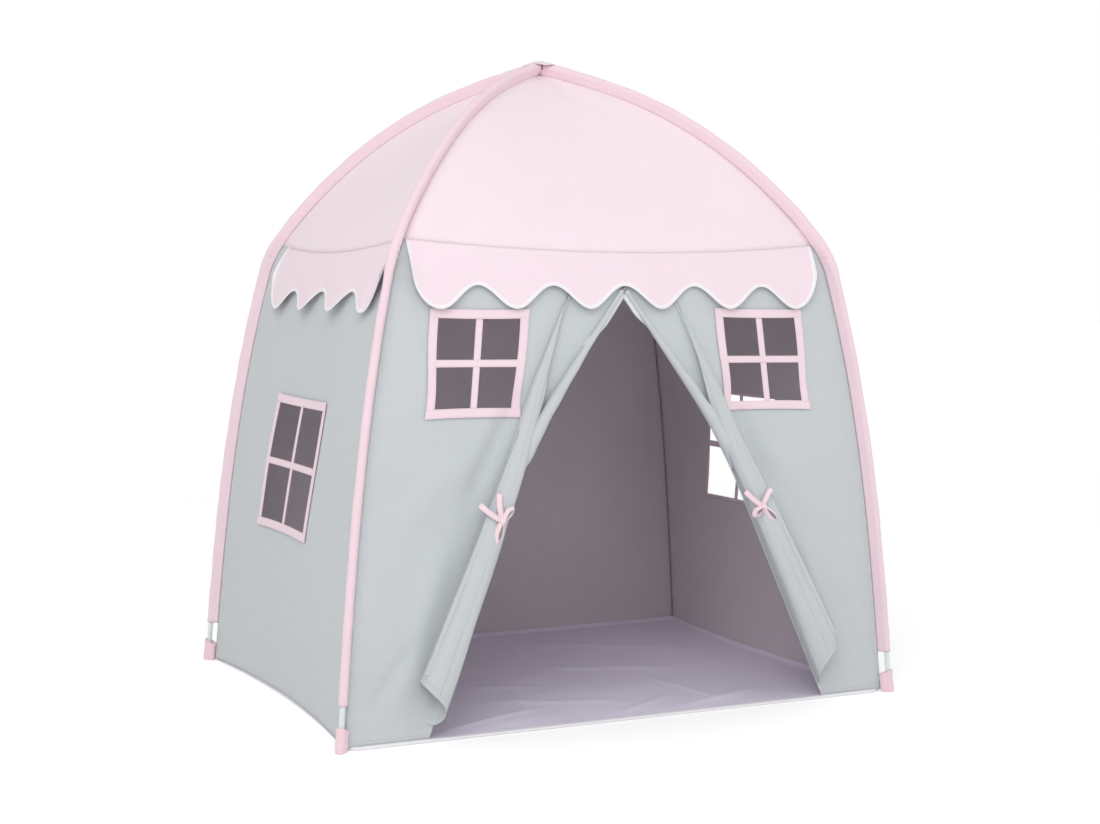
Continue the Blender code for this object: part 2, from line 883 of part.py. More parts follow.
def strip_outline(side, index):
    """Four corners of a flat strip, anticlockwise seen from outside, from where the fold lines meet. Its top
    edge lies along the doorway's steep upper edge, and no higher than strip_top below the door's top."""
    angles = strip_angles(side)
    half = strip_gap / 2
    rise = roll_rise(side)
    steep = math.tan(peak_half_angle)

    def corners_on(angle, off):
        sine, cosine = math.sin(angle), math.cos(angle)
        edge = (rise * steep + off.y * steep + side * off.x + half / math.cos(peak_half_angle))
        top = max(edge / (cosine * steep - sine), (rise + strip_top + off.y) / cosine)
        low = (rise + HEM_DOWN + off.y) / cosine
        return ruling(side, angle) * top + off, ruling(side, angle) * low + off

    outer, inner = angles[index], angles[index + 1]
    top_outer, low_outer = corners_on(outer, Vector((-side * math.cos(outer), -math.sin(outer), 0)) * half)
    if index == len(strip_width_shares) - 1:
        top_inner = Vector((side * zip_half_gap, -rise - strip_top, 0))
        low_inner = Vector((side * zip_half_gap, -rise - HEM_DOWN, 0))
    else:
        top_inner, low_inner = corners_on(inner, Vector((side * math.cos(inner), math.sin(inner), 0)) * half)
    points = [low_outer, low_inner, top_inner, top_outer]
    if side > 0:
        points = [low_inner, low_outer, top_outer, top_inner]
    return [(p.x, p.y) for p in points]


def make_door(group, tools, looks):
    for side, word in ((-1, "left"), (1, "right")):
        for index in range(len(strip_width_shares)):
            turn = fold_frame(side) @ rolled(side, index + 1)
            slab("door_%s_strip_%d" % (word, index + 1), strip_outline(side, index), -cloth / 2, cloth / 2,
                 looks["grey"], group, turn)
        make_top_tape(side, word, group, looks)
        make_bow(side, word, group, tools, looks)
    make_slider(group, tools, looks)


def make_top_tape(side, word, group, looks):
    """The upper end of the zip's tape, on the wall along the doorway's steep edge."""
    angle = peak_half_angle
    out = Vector((side * math.cos(angle), math.sin(angle), 0))
    high = ruling(side, angle) * top_tape_start
    low = ruling(side, angle) * top_tape_end
    near, far = strip_gap, strip_gap + top_tape_width
    points = [low + out * far, low + out * near, high + out * near, high + out * far]
    if side > 0:
        points = [points[1], points[0], points[3], points[2]]
    outline = [(p.x, p.y) for p in points]
    base = cloth / 2 + bow_stand_off
    slab("zip_tape_top_" + word, outline, base, base + cloth, looks["ribbon"], group, DOOR)


def make_bow(side, word, group, tools, looks):
    """A tied ribbon on the roll's front: knot, band, two loops and two ends, on the second strip."""
    angles = strip_angles(side)
    middle = (angles[1] + angles[2]) / 2
    turn = fold_frame(side) @ rolled(side, 2)
    place_down = (roll_rise(side) + bow_drop) / math.cos(middle)
    down = ruling(side, middle)
    across = Vector((-side * math.cos(middle), -math.sin(middle), 0))
    front = Vector((0, 0, -1))
    knot_centre = down * place_down - across * bow_outward
    base = cloth / 2 + bow_stand_off

    def local(a, b, c):
        """a across the roll towards the door's middle, b down the roll, c out of the roll's front."""
        return knot_centre + across * a + down * b + front * (base + c)

    form = bmesh.new()
    bmesh.ops.create_uvsphere(form, u_segments=8, v_segments=6, radius=0.5)
    for vert in form.verts:
        p = vert.co
        vert.co = local(p.x * knot_width, p.y * knot_length, (p.z + 0.5) * knot_height)
    bmesh.ops.recalc_face_normals(form, faces=form.faces)
    mesh = bpy.data.meshes.new("tie_bow_" + word)
    form.to_mesh(mesh)
    form.free()
    shade_round(mesh)
    bow_body = place_object("tie_bow_" + word, mesh, looks["ribbon"], group, turn)

    def add(name, across_count, along_count, place):
        piece = grid(name, across_count, along_count, place, ribbon_thickness, looks["ribbon"], tools,
                     matrix=turn)
        cut(bow_body, piece, "UNION")

    width = place_down * (angles[1] - angles[2])
    half_band = width / 2

    def band(u, v):
        a = (2 * u - 1) * half_band + bow_outward
        return local(a, (v - 0.5) * ribbon_width, ribbon_thickness / 2)

    add("bow_band_helper", 2, 1, band)
    for number, heading in enumerate(bow_loop_turns):
        def loop(u, v, heading=heading, middle_height=bow_loop_middles[number]):
            turn_share = 2 * math.pi * (u * 0.94 + 0.03)
            reach = bow_loop_length * (1 - math.cos(turn_share)) / 2
            height = middle_height + bow_loop_height / 2 * math.sin(turn_share)
            wide = (v - 0.5) * ribbon_width * (0.7 + 0.3 * math.sin(turn_share / 2))
            a = reach * math.cos(heading) - wide * math.sin(heading)
            b = reach * math.sin(heading) + wide * math.cos(heading)
            return local(a, b, height)

        add("bow_loop_helper_%d" % number, 10, 1, loop)
    for number, angle in enumerate(bow_end_turns):
        def end(u, v, angle=angle, start=bow_end_starts[number]):
            reach = bow_end_length * u
            wide = (v - 0.5) * ribbon_width
            height = start + bow_end_rise * math.sin(math.pi * u) - bow_end_drop * u
            a = reach * math.cos(angle) - wide * math.sin(angle)
            b = reach * math.sin(angle) + wide * math.cos(angle)
            return local(a, b, height)

        add("bow_end_helper_%d" % number, 4, 1, end)


def cross_bar(name, radius, length, surface, group, matrix):
    """A round bar along X, its origin at its middle."""
    form = bmesh.new()
    bmesh.ops.create_cone(form, cap_ends=True, segments=bail_sides, radius1=radius, radius2=radius,
                          depth=length, matrix=Matrix.Rotation(math.pi / 2, 4, "Y"))
    mesh = bpy.data.meshes.new(name)
    form.to_mesh(mesh)
    form.free()
    shade_round(mesh)
    return place_object(name, mesh, surface, group, matrix)


def make_slider(group, tools, looks):
    """Two plates joined by a post between the zip's edges, a bail on the front, and the pull in the bail."""
    place = DOOR @ Matrix.Translation((0, slider_up, 0))
    inner = cloth / 2 + slider_fit
    outer = inner + slider_plate
    front = cube("zip_slider", (slider_width, slider_length, slider_plate), (0, 0, inner + slider_plate / 2),
                 looks["metal"], group, place)
    back = cube("slider_back_helper", (slider_width, slider_length, slider_plate),
                (0, 0, -inner - slider_plate / 2), looks["metal"], tools, place)
    post = cube("slider_post_helper", (2 * (zip_half_gap - slider_fit), slider_post_length,
                                       2 * inner + slider_plate), (0, 0, 0), looks["metal"], tools, place)
    cut(front, back, "UNION")
    cut(front, post, "UNION")
    bar = bail_radius - bail_wire - pull_bar_fit
    lift = outer + bail_radius - bail_wire / 2

    at = place @ Matrix.Translation((0, 0, lift))
    bail = cross_bar("bail_helper", bail_radius + bail_wire, 2 * bail_wire, looks["metal"], tools, at)
    hole = cross_bar("bail_hole_helper", bail_radius - bail_wire, 6 * bail_wire, looks["metal"], tools, at)
    cut(front, bail, "UNION")
    cut(front, hole)
    pull = cross_bar("zip_pull", bar, pull_width, looks["metal"], group, at)
    for sign in (-1, 1):
        arm = cube("pull_arm_helper_%d" % sign, (pull_arm, pull_arm_length + bar, pull_thickness),
                   (sign * (pull_width - pull_arm) / 2, -(pull_arm_length + bar) / 2 + bar / 2, 0),
                   looks["metal"], tools, at)
        cut(pull, arm, "UNION")
    tab = cube("pull_tab_helper", (pull_width, pull_tab_length, pull_thickness),
               (0, -pull_arm_length - pull_tab_length / 2 + pull_arm, 0), looks["metal"], tools, at)
    cut(pull, tab, "UNION")


def main():
    clear_scene()
    group = collection("kids_play_tent")
    tools = collection("helpers", helper=True)
    looks = {
        "tube": material("white tube", (233, 238, 236), 0.35),
        "plastic": material("grey plastic", (92, 88, 94), 0.5),
        "pink": material("pink cloth", (245, 222, 230), 0.9),
        "deep_pink": material("pocket cloth", (244, 208, 217), 0.9),
        "ribbon": material("ribbon", (243, 205, 215), 0.8),
        "grey": material("grey cloth", (196, 202, 204), 0.9),
        "lavender": material("mat cloth", (196, 187, 200), 0.95),
        "metal": material("zip metal", (190, 188, 184), 0.35, 1.0),
    }
    make_frame(group, tools, looks)
    make_sleeves(group, looks)
    make_pockets(group, tools, looks)
    make_walls(group, tools, looks)
    make_roof(group, looks)
    make_valances(group, looks)
    make_windows(group, looks)
    make_mat(group, looks)
    make_door(group, tools, looks)


main()
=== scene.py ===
import math

import bmesh
import bpy
import numpy as np
from mathutils import Matrix, Vector


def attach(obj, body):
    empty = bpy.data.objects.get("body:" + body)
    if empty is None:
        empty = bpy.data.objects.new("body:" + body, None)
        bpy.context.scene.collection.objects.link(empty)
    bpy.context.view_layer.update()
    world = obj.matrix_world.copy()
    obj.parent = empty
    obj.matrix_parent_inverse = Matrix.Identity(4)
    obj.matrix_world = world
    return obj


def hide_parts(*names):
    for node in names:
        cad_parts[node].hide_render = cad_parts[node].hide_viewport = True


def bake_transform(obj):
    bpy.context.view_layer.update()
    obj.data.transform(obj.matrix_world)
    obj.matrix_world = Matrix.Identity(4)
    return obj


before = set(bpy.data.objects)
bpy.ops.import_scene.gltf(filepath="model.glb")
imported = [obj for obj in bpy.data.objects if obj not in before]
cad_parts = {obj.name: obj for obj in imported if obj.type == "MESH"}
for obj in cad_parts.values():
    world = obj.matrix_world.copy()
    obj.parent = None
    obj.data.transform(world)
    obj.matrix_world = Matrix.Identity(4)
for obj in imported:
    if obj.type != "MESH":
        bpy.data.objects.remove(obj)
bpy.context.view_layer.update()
print("frame loaded")

poleLine = {
    "footX": 0.640, "footY": 0.478, "shoulderX": 0.503, "shoulderY": 0.412,
    "shoulderHeight": 0.975, "peakHeight": 1.385,
    "legStraight": 0.55, "legPower": 3.0, "ribStraight": 0.395, "ribPower": 2.62,
    "bendBelow": 0.050, "bendAbove": 0.070, "radius": 0.0055,
}
cornerSigns = {"front_left": (-1, -1), "front_right": (1, -1), "back_left": (-1, 1), "back_right": (1, 1)}


def smoothStep(x):
    x = np.clip(x, 0.0, 1.0)
    return x * x * (3 - 2 * x)


def unitVector(v):
    return v / np.linalg.norm(v, axis=-1, keepdims=True)


def pairs(x, y):
    return np.stack(np.broadcast_arrays(x, y), -1)


def triple(x, y, z):
    return np.stack(np.broadcast_arrays(x, y, z), -1).astype(float)


def pathRun(points):
    # distance along a path at each of its points
    return np.concatenate([[0], np.cumsum(np.linalg.norm(np.diff(points, axis=0), axis=1))])


def alongPath(at, run, values):
    return np.stack([np.interp(at, run, values[:, k]) for k in range(3)], 1)


def toCorner(points, signs):
    return points * np.array([signs[0], signs[1], 1.0])


def plainSpine(t):
    # t 0 to 1 climbs the leg, drawn in by a straight share and a power of t; t 1 to 2 climbs the rib to the hub,
    # its height a straight share and one minus a power of what is left
    p = poleLine
    t = np.asarray(t, float)
    low = np.clip(t, 0, 1)
    left = np.clip(2 - t, 0, 1)
    inset = p["legStraight"] * low + (1 - p["legStraight"]) * low ** p["legPower"]
    rise = p["ribStraight"] * (1 - left) + (1 - p["ribStraight"]) * (1 - left ** p["ribPower"])
    leg = triple(p["footX"] - (p["footX"] - p["shoulderX"]) * inset,
                 p["footY"] - (p["footY"] - p["shoulderY"]) * inset, p["shoulderHeight"] * low)
    rib = triple(p["shoulderX"] * left, p["shoulderY"] * left,
                 p["shoulderHeight"] + (p["peakHeight"] - p["shoulderHeight"]) * rise)
    return np.where((t <= 1)[..., None], leg, rib)


ribTable = plainSpine(np.linspace(1, 2, 601))
ribRun = pathRun(ribTable)
bendFrom = 1 - poleLine["bendBelow"] / poleLine["shoulderHeight"]
bendTo = 1 + poleLine["bendAbove"] / ribRun[-1]


def upLeg(height):
    return height / poleLine["shoulderHeight"]


def upRib(length):
    return 1 + np.interp(length, ribRun, np.linspace(0, 1, 601))


def spine(t):
    # the plain line, with its corner at the shoulder rounded by a curve between two points on it
    t = np.asarray(t, float)
    share = np.clip((t - bendFrom) / (bendTo - bendFrom), 0, 1)[..., None]
    low = plainSpine(bendFrom) * (1 - share) + plainSpine(1.0) * share
    high = plainSpine(1.0) * (1 - share) + plainSpine(bendTo) * share
    bent = low * (1 - share) + high * share
    return np.where(((t > bendFrom) & (t < bendTo))[..., None], bent, plainSpine(t))


def poleFrame(t):
    t = np.asarray(t, float)
    along = unitVector(spine(np.minimum(t + 0.004, 2)) - spine(np.maximum(t - 0.004, 0)))
    out = triple(1.0, 1.0, 1.5 * np.maximum(t - 1, 0))
    out = unitVector(out - along * np.sum(out * along, -1, keepdims=True))
    return spine(t), along, out, np.cross(along, out)


sleeve = {
    "radius": 0.0080, "overJoint": 0.0016, "tail": 0.0195, "tailGap": 0.0011, "ankle": 0.090, "hubGap": 0.004,
    "thick": 0.0009, "jointReach": 0.055, "foldReach": 0.035, "foldHigh": 0.0011, "rippleLong": 0.09,
    "rippleHigh": 0.00045,
}


def seamLine(t):
    # the tip of the sleeve's tail, where walls and roof are sewn on
    centre, _, out, _ = poleFrame(t)
    return centre - out * sleeve["tail"]


seamTable = seamLine(np.linspace(0, 1.3, 800))


def seamXY(z):
    return np.interp(z, seamTable[:, 2], seamTable[:, 0]), np.interp(z, seamTable[:, 2], seamTable[:, 1])


wall = {
    "hem": 0.0044, "sideHemLift": 0.004, "backHemLift": 0.002, "backBow": 0.012, "sideBow": 0.030,
    "sideBowHigh": 0.003, "seamUp": 0.036, "seamSag": 0.022, "flatMargin": 0.050, "edgeGap": 0.0005,
    "topGap": 0.0005, "sewnHalf": 0.0019, "thick": 0.0009,
}
tSeam = float(upRib(wall["seamUp"]))
seamTop = seamLine(tSeam)

door = {
    "top": 0.886, "hem": 0.030, "steep": math.radians(36.3),
    "rollAngle": {-1: math.radians(21.8), 1: math.radians(23.3)},
    "inset": {-1: 0.100, 1: 0.090}, "stripTop": 0.066, "zipGap": 0.0021, "peakEase": 0.010,
    "shares": (0.205, 0.227, 0.172, 0.157, 0.127, 0.112), "turns": (83.3, 96.5, 90.7, 94.5, 90.1, 90.8),
    "fold": 0.019, "thick": 0.0009,
}
sideWord = {-1: "left", 1: "right"}


def doorPlane():
    # right, up the slope and outward as columns, and the door's top point
    top = np.array([0, -seamXY(door["top"])[1], door["top"]], float)
    base = np.array([0, -seamXY(0.0)[1], 0], float)
    right = np.array([1.0, 0, 0])
    up = unitVector(top - base)
    return np.stack([right, up, np.cross(right, up)], 1), top, float(np.linalg.norm(top - base))


doorTurn, doorTop, doorSlope = doorPlane()
hemDown = doorSlope * (1 - door["hem"] / door["top"])


def doorPoint(x, y, out):
    return triple(x, y, out) @ doorTurn.T + doorTop


def kinkDepth(side):
    return door["inset"][side] / (math.tan(door["steep"]) - math.tan(door["rollAngle"][side]))


def doorwayEdge(side, z):
    # distance of the doorway's edge from the middle: the nearer of the steep line and the fold line, eased together
    depth = np.maximum(door["top"] - z, 0.0)
    steep = depth * math.tan(door["steep"])
    fold = door["inset"][side] + depth * math.tan(door["rollAngle"][side])
    ease = door["peakEase"] * smoothStep(depth / 0.10)
    return (steep + fold) / 2 - np.sqrt(((steep - fold) / 2) ** 2 + ease ** 2)


def frontY(x, z):
    # flat round the doorway, easing out to the corner seams
    edgeX, edgeY = seamXY(z)
    baseY, topY = seamXY(0.0)[1], seamXY(door["top"])[1]
    flat = baseY + (topY - baseY) * z / door["top"]
    depth = np.maximum(door["top"] - z, 0.0)
    inner = wall["flatMargin"] + np.maximum(
        door["inset"][-1] + depth * math.tan(door["rollAngle"][-1]),
        door["inset"][1] + depth * math.tan(door["rollAngle"][1]))
    share = smoothStep((np.abs(x) - inner) / np.maximum(edgeX - wall["sewnHalf"] - inner, wall["flatMargin"]))
    return -(flat + (edgeY - flat) * share)


def bowIn(share, z, low):
    height = np.clip(z / seamTop[2], 0, 1)
    return (low * (1 - height) ** 1.5 + wall["sideBowHigh"] * np.sin(math.pi * height)) * (1 - share ** 2)


def sideX(y, z):
    edgeX, edgeY = seamXY(z)
    return edgeX - bowIn(np.minimum(np.abs(y) / edgeY, 1), z, wall["sideBow"])


def backY(x, z):
    edgeX, edgeY = seamXY(z)
    return edgeY - bowIn(np.minimum(np.abs(x) / edgeX, 1), z, wall["backBow"])


def facePoint(face, a, z, out=0.0):
    # a point of a wall: a runs along it, out is its distance from the cloth's middle
    if face == "front":
        return triple(a, frontY(a, z) - out, z)
    if face == "back":
        return triple(a, backY(a, z) + out, z)
    sign = -1 if face == "left" else 1
    return triple(sign * (sideX(a, z) + out), a, z)


# Creases: each a ridge along a segment, bell-shaped across and fading to its ends
def creases(a, b, lines):
    total = np.zeros(np.broadcast(a, b).shape)
    for a0, b0, a1, b1, width, height in lines:
        da, db = a1 - a0, b1 - b0
        length = math.hypot(da, db)
        along = ((a - a0) * da + (b - b0) * db) / length ** 2
        off = ((a - a0) * db - (b - b0) * da) / length
        total += height * np.exp(-(off / width) ** 2) * smoothStep(along / 0.3) * smoothStep((1 - along) / 0.3)
    return total


# Ripples: a sum of sine waves in random directions, with a mean height of 0
def ripples(a, b, seed, wavelength, height, lean=(1.0, 1.0), count=12):
    rng = np.random.default_rng(seed)
    total = np.zeros(np.broadcast(a, b).shape)
    for _ in range(count):
        angle, phase = rng.uniform(0, math.pi), rng.uniform(0, 2 * math.pi)
        size = wavelength * rng.uniform(0.7, 1.6)
        total += np.sin(2 * math.pi * (a * math.cos(angle) * lean[0] + b * math.sin(angle) * lean[1]) / size + phase)
    return height * total / math.sqrt(count)


# Meshes


def runLengths(points):
    # distance along each row from its middle column, and up each column from the first row
    across = np.linalg.norm(np.diff(points, axis=1), axis=2)
    up = np.linalg.norm(np.diff(points, axis=0), axis=2)
    u = np.concatenate([np.zeros((points.shape[0], 1)), np.cumsum(across, 1)], 1)
    v = np.concatenate([np.zeros((1, points.shape[1])), np.cumsum(up, 0)], 0)
    return u - u[:, [points.shape[1] // 2]], v


def gridFaces(rows, cols):
    index = np.arange(rows * cols).reshape(rows, cols)
    return np.stack([index[:-1, :-1], index[:-1, 1:], index[1:, 1:], index[1:, :-1]], -1).reshape(-1, 4)


def newMesh(name, points, faces, uv):
    mesh = bpy.data.meshes.new(name)
    mesh.vertices.add(len(points))
    mesh.vertices.foreach_set("co", np.ascontiguousarray(points, np.float32).ravel())
    mesh.loops.add(faces.size)
    mesh.loops.foreach_set("vertex_index", faces.ravel().astype(np.int32))
    mesh.polygons.add(len(faces))
    mesh.polygons.foreach_set("loop_start", (np.arange(len(faces)) * faces.shape[1]).astype(np.int32))
    mesh.update(calc_edges=True)
    layer = mesh.uv_layers.new(name="cloth")
    layer.data.foreach_set("uv", np.ascontiguousarray(uv[faces.ravel()], np.float32).ravel())
    mesh.shade_smooth()
    made = bpy.data.objects.new(name, mesh)
    bpy.context.scene.collection.objects.link(made)
    return made


def sheetPiece(name, points, look, thick, uv=None, flip=False):
    rows, cols = points.shape[:2]
    if uv is None:
        uv = np.stack(runLengths(points), -1)
    faces = gridFaces(rows, cols)
    if flip:
        faces = faces[:, ::-1]
    made = newMesh(name, points.reshape(-1, 3), faces, uv.reshape(-1, 2))
    made.data.materials.append(look)
    if thick:
        thicken(made, thick)
    return made


def thicken(made, thick, inside=None):
    skin = made.modifiers.new("thickness", "SOLIDIFY")
    if inside:
        made.data.materials.append(inside)
        skin.material_offset = 1
    skin.thickness = thick
    skin.offset = 0
    skin.use_even_offset = True
    skin.thickness_clamp = 1.0


def wallsOff(points):
    # unit normals of a grid, from the cross product of its two directions
    return unitVector(np.cross(np.gradient(points, axis=1), np.gradient(points, axis=0)))


def tubePiece(name, points, uv, look, closedPath=False, capped=True, sharp=55):
    # Rings of points, one closed profile at each station of a path, joined ring to ring and capped at the ends
    stations, count = points.shape[:2]
    loop = np.arange(count)
    after = (loop + 1) % count
    here = np.arange(stations if closedPath else stations - 1)[:, None]
    there = (here + 1) % stations
    faces = np.stack([here * count + loop, there * count + loop, there * count + after, here * count + after],
                     -1).reshape(-1, 4)
    made = newMesh(name, points.reshape(-1, 3), faces, uv.reshape(-1, 2))
    made.data.materials.append(look)
    form = bmesh.new()
    form.from_mesh(made.data)
    if capped and not closedPath:
        form.verts.ensure_lookup_table()
        for start in (0, (stations - 1) * count):
            form.faces.new([form.verts[start + k] for k in range(count)])
    bmesh.ops.recalc_face_normals(form, faces=form.faces)
    form.to_mesh(made.data)
    form.free()
    made.data.shade_smooth()
    made.data.set_sharp_from_angle(angle=math.radians(sharp))
    return made


def carried(name, centre, across, outward, profile, look, closedPath=False):
    # A closed profile carried along a path: centre plus profile x across and profile y outward at each station.
    # UVs are the run along the path and the profile's x.
    points = centre[:, None] + across[:, None] * profile[None, :, :1] + outward[:, None] * profile[None, :, 1:]
    run = pathRun(centre)
    uv = pairs(run[:, None], profile[None, :, 0])
    return tubePiece(name, points, uv, look, closedPath)


def blocks(name, centre, along, across, outward, size, look):
    # small boxes in a row, each with its size along, across and outward
    signs = np.array([(a, b, c) for a in (-1, 1) for b in (-1, 1) for c in (-1, 1)]) / 2
    axes = np.stack([along * size[0], across * size[1], outward * size[2]], 1)
    points = centre[:, None] + np.einsum("kc,ncd->nkd", signs, axes)
    box = np.array([(0, 1, 3, 2), (4, 6, 7, 5), (0, 4, 5, 1), (2, 3, 7, 6), (0, 2, 6, 4), (1, 5, 7, 3)])
    faces = (np.arange(len(centre))[:, None, None] * 8 + box).reshape(-1, 4)
    made = newMesh(name, points.reshape(-1, 3), faces, np.zeros((len(centre) * 8, 2)))
    made.data.materials.append(look)
    form = bmesh.new()
    form.from_mesh(made.data)
    bmesh.ops.recalc_face_normals(form, faces=form.faces)
    form.to_mesh(made.data)
    form.free()
    made.data.set_sharp_from_angle(angle=math.radians(30))
    return made


def tapeProfile(width, high, count=14):
    # a flat tape with rounded edges: cosine across, a fourth root of sine for its height
    turn = 2 * math.pi * (np.arange(count) + 0.5) / count
    x = np.sign(np.cos(turn)) * np.abs(np.cos(turn)) ** 0.7 * width / 2
    y = np.sign(np.sin(turn)) * np.abs(np.sin(turn)) ** 0.5 * high / 2
    return np.stack([x, y], 1)


def joinPieces(name, pieces):
    form = bmesh.new()
    for piece in pieces:
        form.from_mesh(piece.data)
    made = pieces[0]
    form.to_mesh(made.data)
    form.free()
    for piece in pieces[1:]:
        bpy.data.objects.remove(piece, do_unlink=True)
    made.name = made.data.name = name
    return made


def gridArea(points):
    first = np.cross(points[:-1, 1:] - points[:-1, :-1], points[1:, :-1] - points[:-1, :-1])
    second = np.cross(points[1:, :-1] - points[1:, 1:], points[:-1, 1:] - points[1:, 1:])
    return float(np.linalg.norm(first, axis=2).sum() / 2 + np.linalg.norm(second, axis=2).sum() / 2)


def declareSheet(points, area=None):
    area = area or gridArea(points)


def place(piece, body, slot=None, *nodes):
    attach(piece, body)
    if nodes:
        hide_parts(*nodes)
    return piece


# Materials


def linear(level):
    share = level / 255
    return share / 12.92 if share <= 0.04045 else ((share + 0.055) / 1.055) ** 2.4


def colour(red, green, blue):
    return (linear(red), linear(green), linear(blue), 1.0)


class Wire:
    def __init__(self, net, socket):
        self.net, self.socket = net, socket

    def math(self, operation, *others):
        return self.net.node("ShaderNodeMath", {"operation": operation}, dict(enumerate((self, *others))))

    def __add__(self, other):
        return self.math("ADD", other)

    def __radd__(self, other):
        return self.math("ADD", other)

    def __sub__(self, other):
        return self.math("SUBTRACT", other)

    def __rsub__(self, other):
        return self.net.node("ShaderNodeMath", {"operation": "SUBTRACT"}, {0: other, 1: self})

    def __mul__(self, other):
        return self.math("MULTIPLY", other)

    def __rmul__(self, other):
        return self.math("MULTIPLY", other)

    def __truediv__(self, other):
        return self.math("DIVIDE", other)

    def __gt__(self, other):
        return self.math("GREATER_THAN", other)

    def __lt__(self, other):
        return self.math("LESS_THAN", other)

    def sine(self):
        return self.math("SINE")

    def wrap(self, size):
        return self.math("FLOORED_MODULO", size)

    def magnitude(self):
        return self.math("ABSOLUTE")

    def ramp(self, low, high):
        return self.net.node("ShaderNodeMapRange", {"interpolation_type": "SMOOTHSTEP"},
                             {"Value": self, "From Min": low, "From Max": high})


class Finish:
    def __init__(self, name):
        self.material = bpy.data.materials.new(name)
        self.material.use_nodes = True
        self.tree = self.material.node_tree
        self.shader = self.tree.nodes["Principled BSDF"]

    def node(self, kind, settings=None, inputs=None, output=0):
        made = self.tree.nodes.new(kind)
        for key, value in (settings or {}).items():
            setattr(made, key, value)
        for key, value in (inputs or {}).items():
            self.feed(made.inputs[key], value)
        return Wire(self, made.outputs[output])

    def feed(self, socket, value):
        if isinstance(value, Wire):
            self.tree.links.new(value.socket, socket)
        else:
            socket.default_value = value

    def set(self, **values):
        for key, value in values.items():
            self.feed(self.shader.inputs[key.replace("_", " ")], value)

    def mix(self, share, first, second):
        made = self.tree.nodes.new("ShaderNodeMix")
        made.data_type = "RGBA"
        self.feed(made.inputs[0], share)
        self.feed(made.inputs[6], first)
        self.feed(made.inputs[7], second)
        return Wire(self, made.outputs[2])

    def noise(self, vector, scale, detail=3.0, rough=0.5, stretch=None):
        if stretch:
            vector = self.node("ShaderNodeMapping", None, {"Vector": vector, "Scale": stretch})
        return self.node("ShaderNodeTexNoise", None,
                         {"Vector": vector, "Scale": scale, "Detail": detail, "Roughness": rough})

    def clothUV(self):
        uv = self.node("ShaderNodeUVMap", {"uv_map": "cloth"})
        parts = self.tree.nodes.new("ShaderNodeSeparateXYZ")
        self.tree.links.new(uv.socket, parts.inputs[0])
        return uv, Wire(self, parts.outputs[0]), Wire(self, parts.outputs[1])

    def place(self):
        return Wire(self, self.tree.nodes.new("ShaderNodeTexCoord").outputs["Object"])

    def bump(self, height, distance, strength=1.0):
        self.set(Normal=self.node("ShaderNodeBump", None,
                                  {"Height": height, "Distance": distance, "Strength": strength}))


# the stitch grooves are painted some levels deeper than the cloth, as painted shade
stitch = {"half": 0.0005, "step": 0.0034, "long": 0.0024, "grooveShade": 26}


def clothLook(name, base, shade, thread=0.00085, sheen=0.25, seams=()):
    # Plain weave: the product of two sines along u and v, whose low cells are also painted toward the shade colour as
    # painted shade between the threads; slubs: noise drawn out along each thread direction.
    # seams are values of v that a row of stitches follows along u.
    f = Finish(name)
    uv, u, v = f.clothUV()
    turn = 2 * math.pi / (2 * thread)
    weave = (u * turn).sine() * (v * turn).sine()
    slubs = f.noise(uv, 1.0, 2.0, 0.6, (260, 12, 1)) + f.noise(uv, 1.0, 2.0, 0.6, (12, 260, 1))
    mottle = f.noise(f.place(), 5.0, 4.0, 0.55)
    # the weave's term here is painted shade in its low cells; slubs and mottle are the cloth's own uneven tone
    share = weave * 0.10 + (slubs - 1.0) * 0.55 + (mottle - 0.5) * 0.5 + 0.5
    tone = f.mix(share.ramp(0.0, 1.0), colour(*shade), colour(*base))
    height = weave * 0.5 + slubs * 0.35
    stitches = None
    for level in seams:
        row = ((v - level).magnitude() < stitch["half"]) * (u.wrap(stitch["step"]) < stitch["long"])
        stitches = row if stitches is None else stitches + row
    if stitches is not None:
        # stitch rows: sunk in the bump and painted a deeper tone, as painted shade in their grooves
        tone = f.mix(stitches * 0.6, tone, colour(*[max(c - stitch["grooveShade"], 0) for c in base]))
        height = height - stitches * 3.0
    f.set(Base_Color=tone, Roughness=(mottle * 0.08 + 0.84))
    f.set(Sheen_Weight=sheen, Sheen_Roughness=0.45, Specular_IOR_Level=0.25)
    f.bump(height, 0.00018, 0.55)
    return f.material


def tubeLook():
    f = Finish("white tube")
    smear = f.noise(f.place(), 40.0, 4.0, 0.6)
    f.set(Base_Color=f.mix(smear.ramp(0.3, 0.7), colour(222, 229, 226), colour(236, 241, 239)),
          Roughness=(smear * 0.14 + 0.24), Coat_Weight=0.25)
    f.bump(smear, 0.0003, 0.3)
    return f.material


def plasticLook(name, base, shade):
    f = Finish(name)
    grain = f.noise(f.place(), 900.0, 2.0, 0.5)
    worn = f.noise(f.place(), 22.0, 4.0, 0.6)
    f.set(Base_Color=f.mix(worn.ramp(0.3, 0.7), colour(*shade), colour(*base)), Roughness=(worn * 0.2 + 0.4))
    f.bump(grain, 0.0002, 0.5)
    return f.material


def zipMetalLook():
    f = Finish("zip metal")
    rubbed = f.noise(f.place(), 300.0, 4.0, 0.6)
    f.set(Base_Color=f.mix(rubbed.ramp(0.35, 0.7), colour(150, 146, 138), colour(205, 203, 198)), Metallic=1.0,
          Roughness=(rubbed * 0.3 + 0.22))
    f.bump(rubbed, 0.0001, 0.4)
    return f.material


ground = {"grey": 252, "rough": 0.9, "shine": 0.1, "glow": 0.385, "nearGlow": 0.70, "near": 1.6, "far": 9.0}


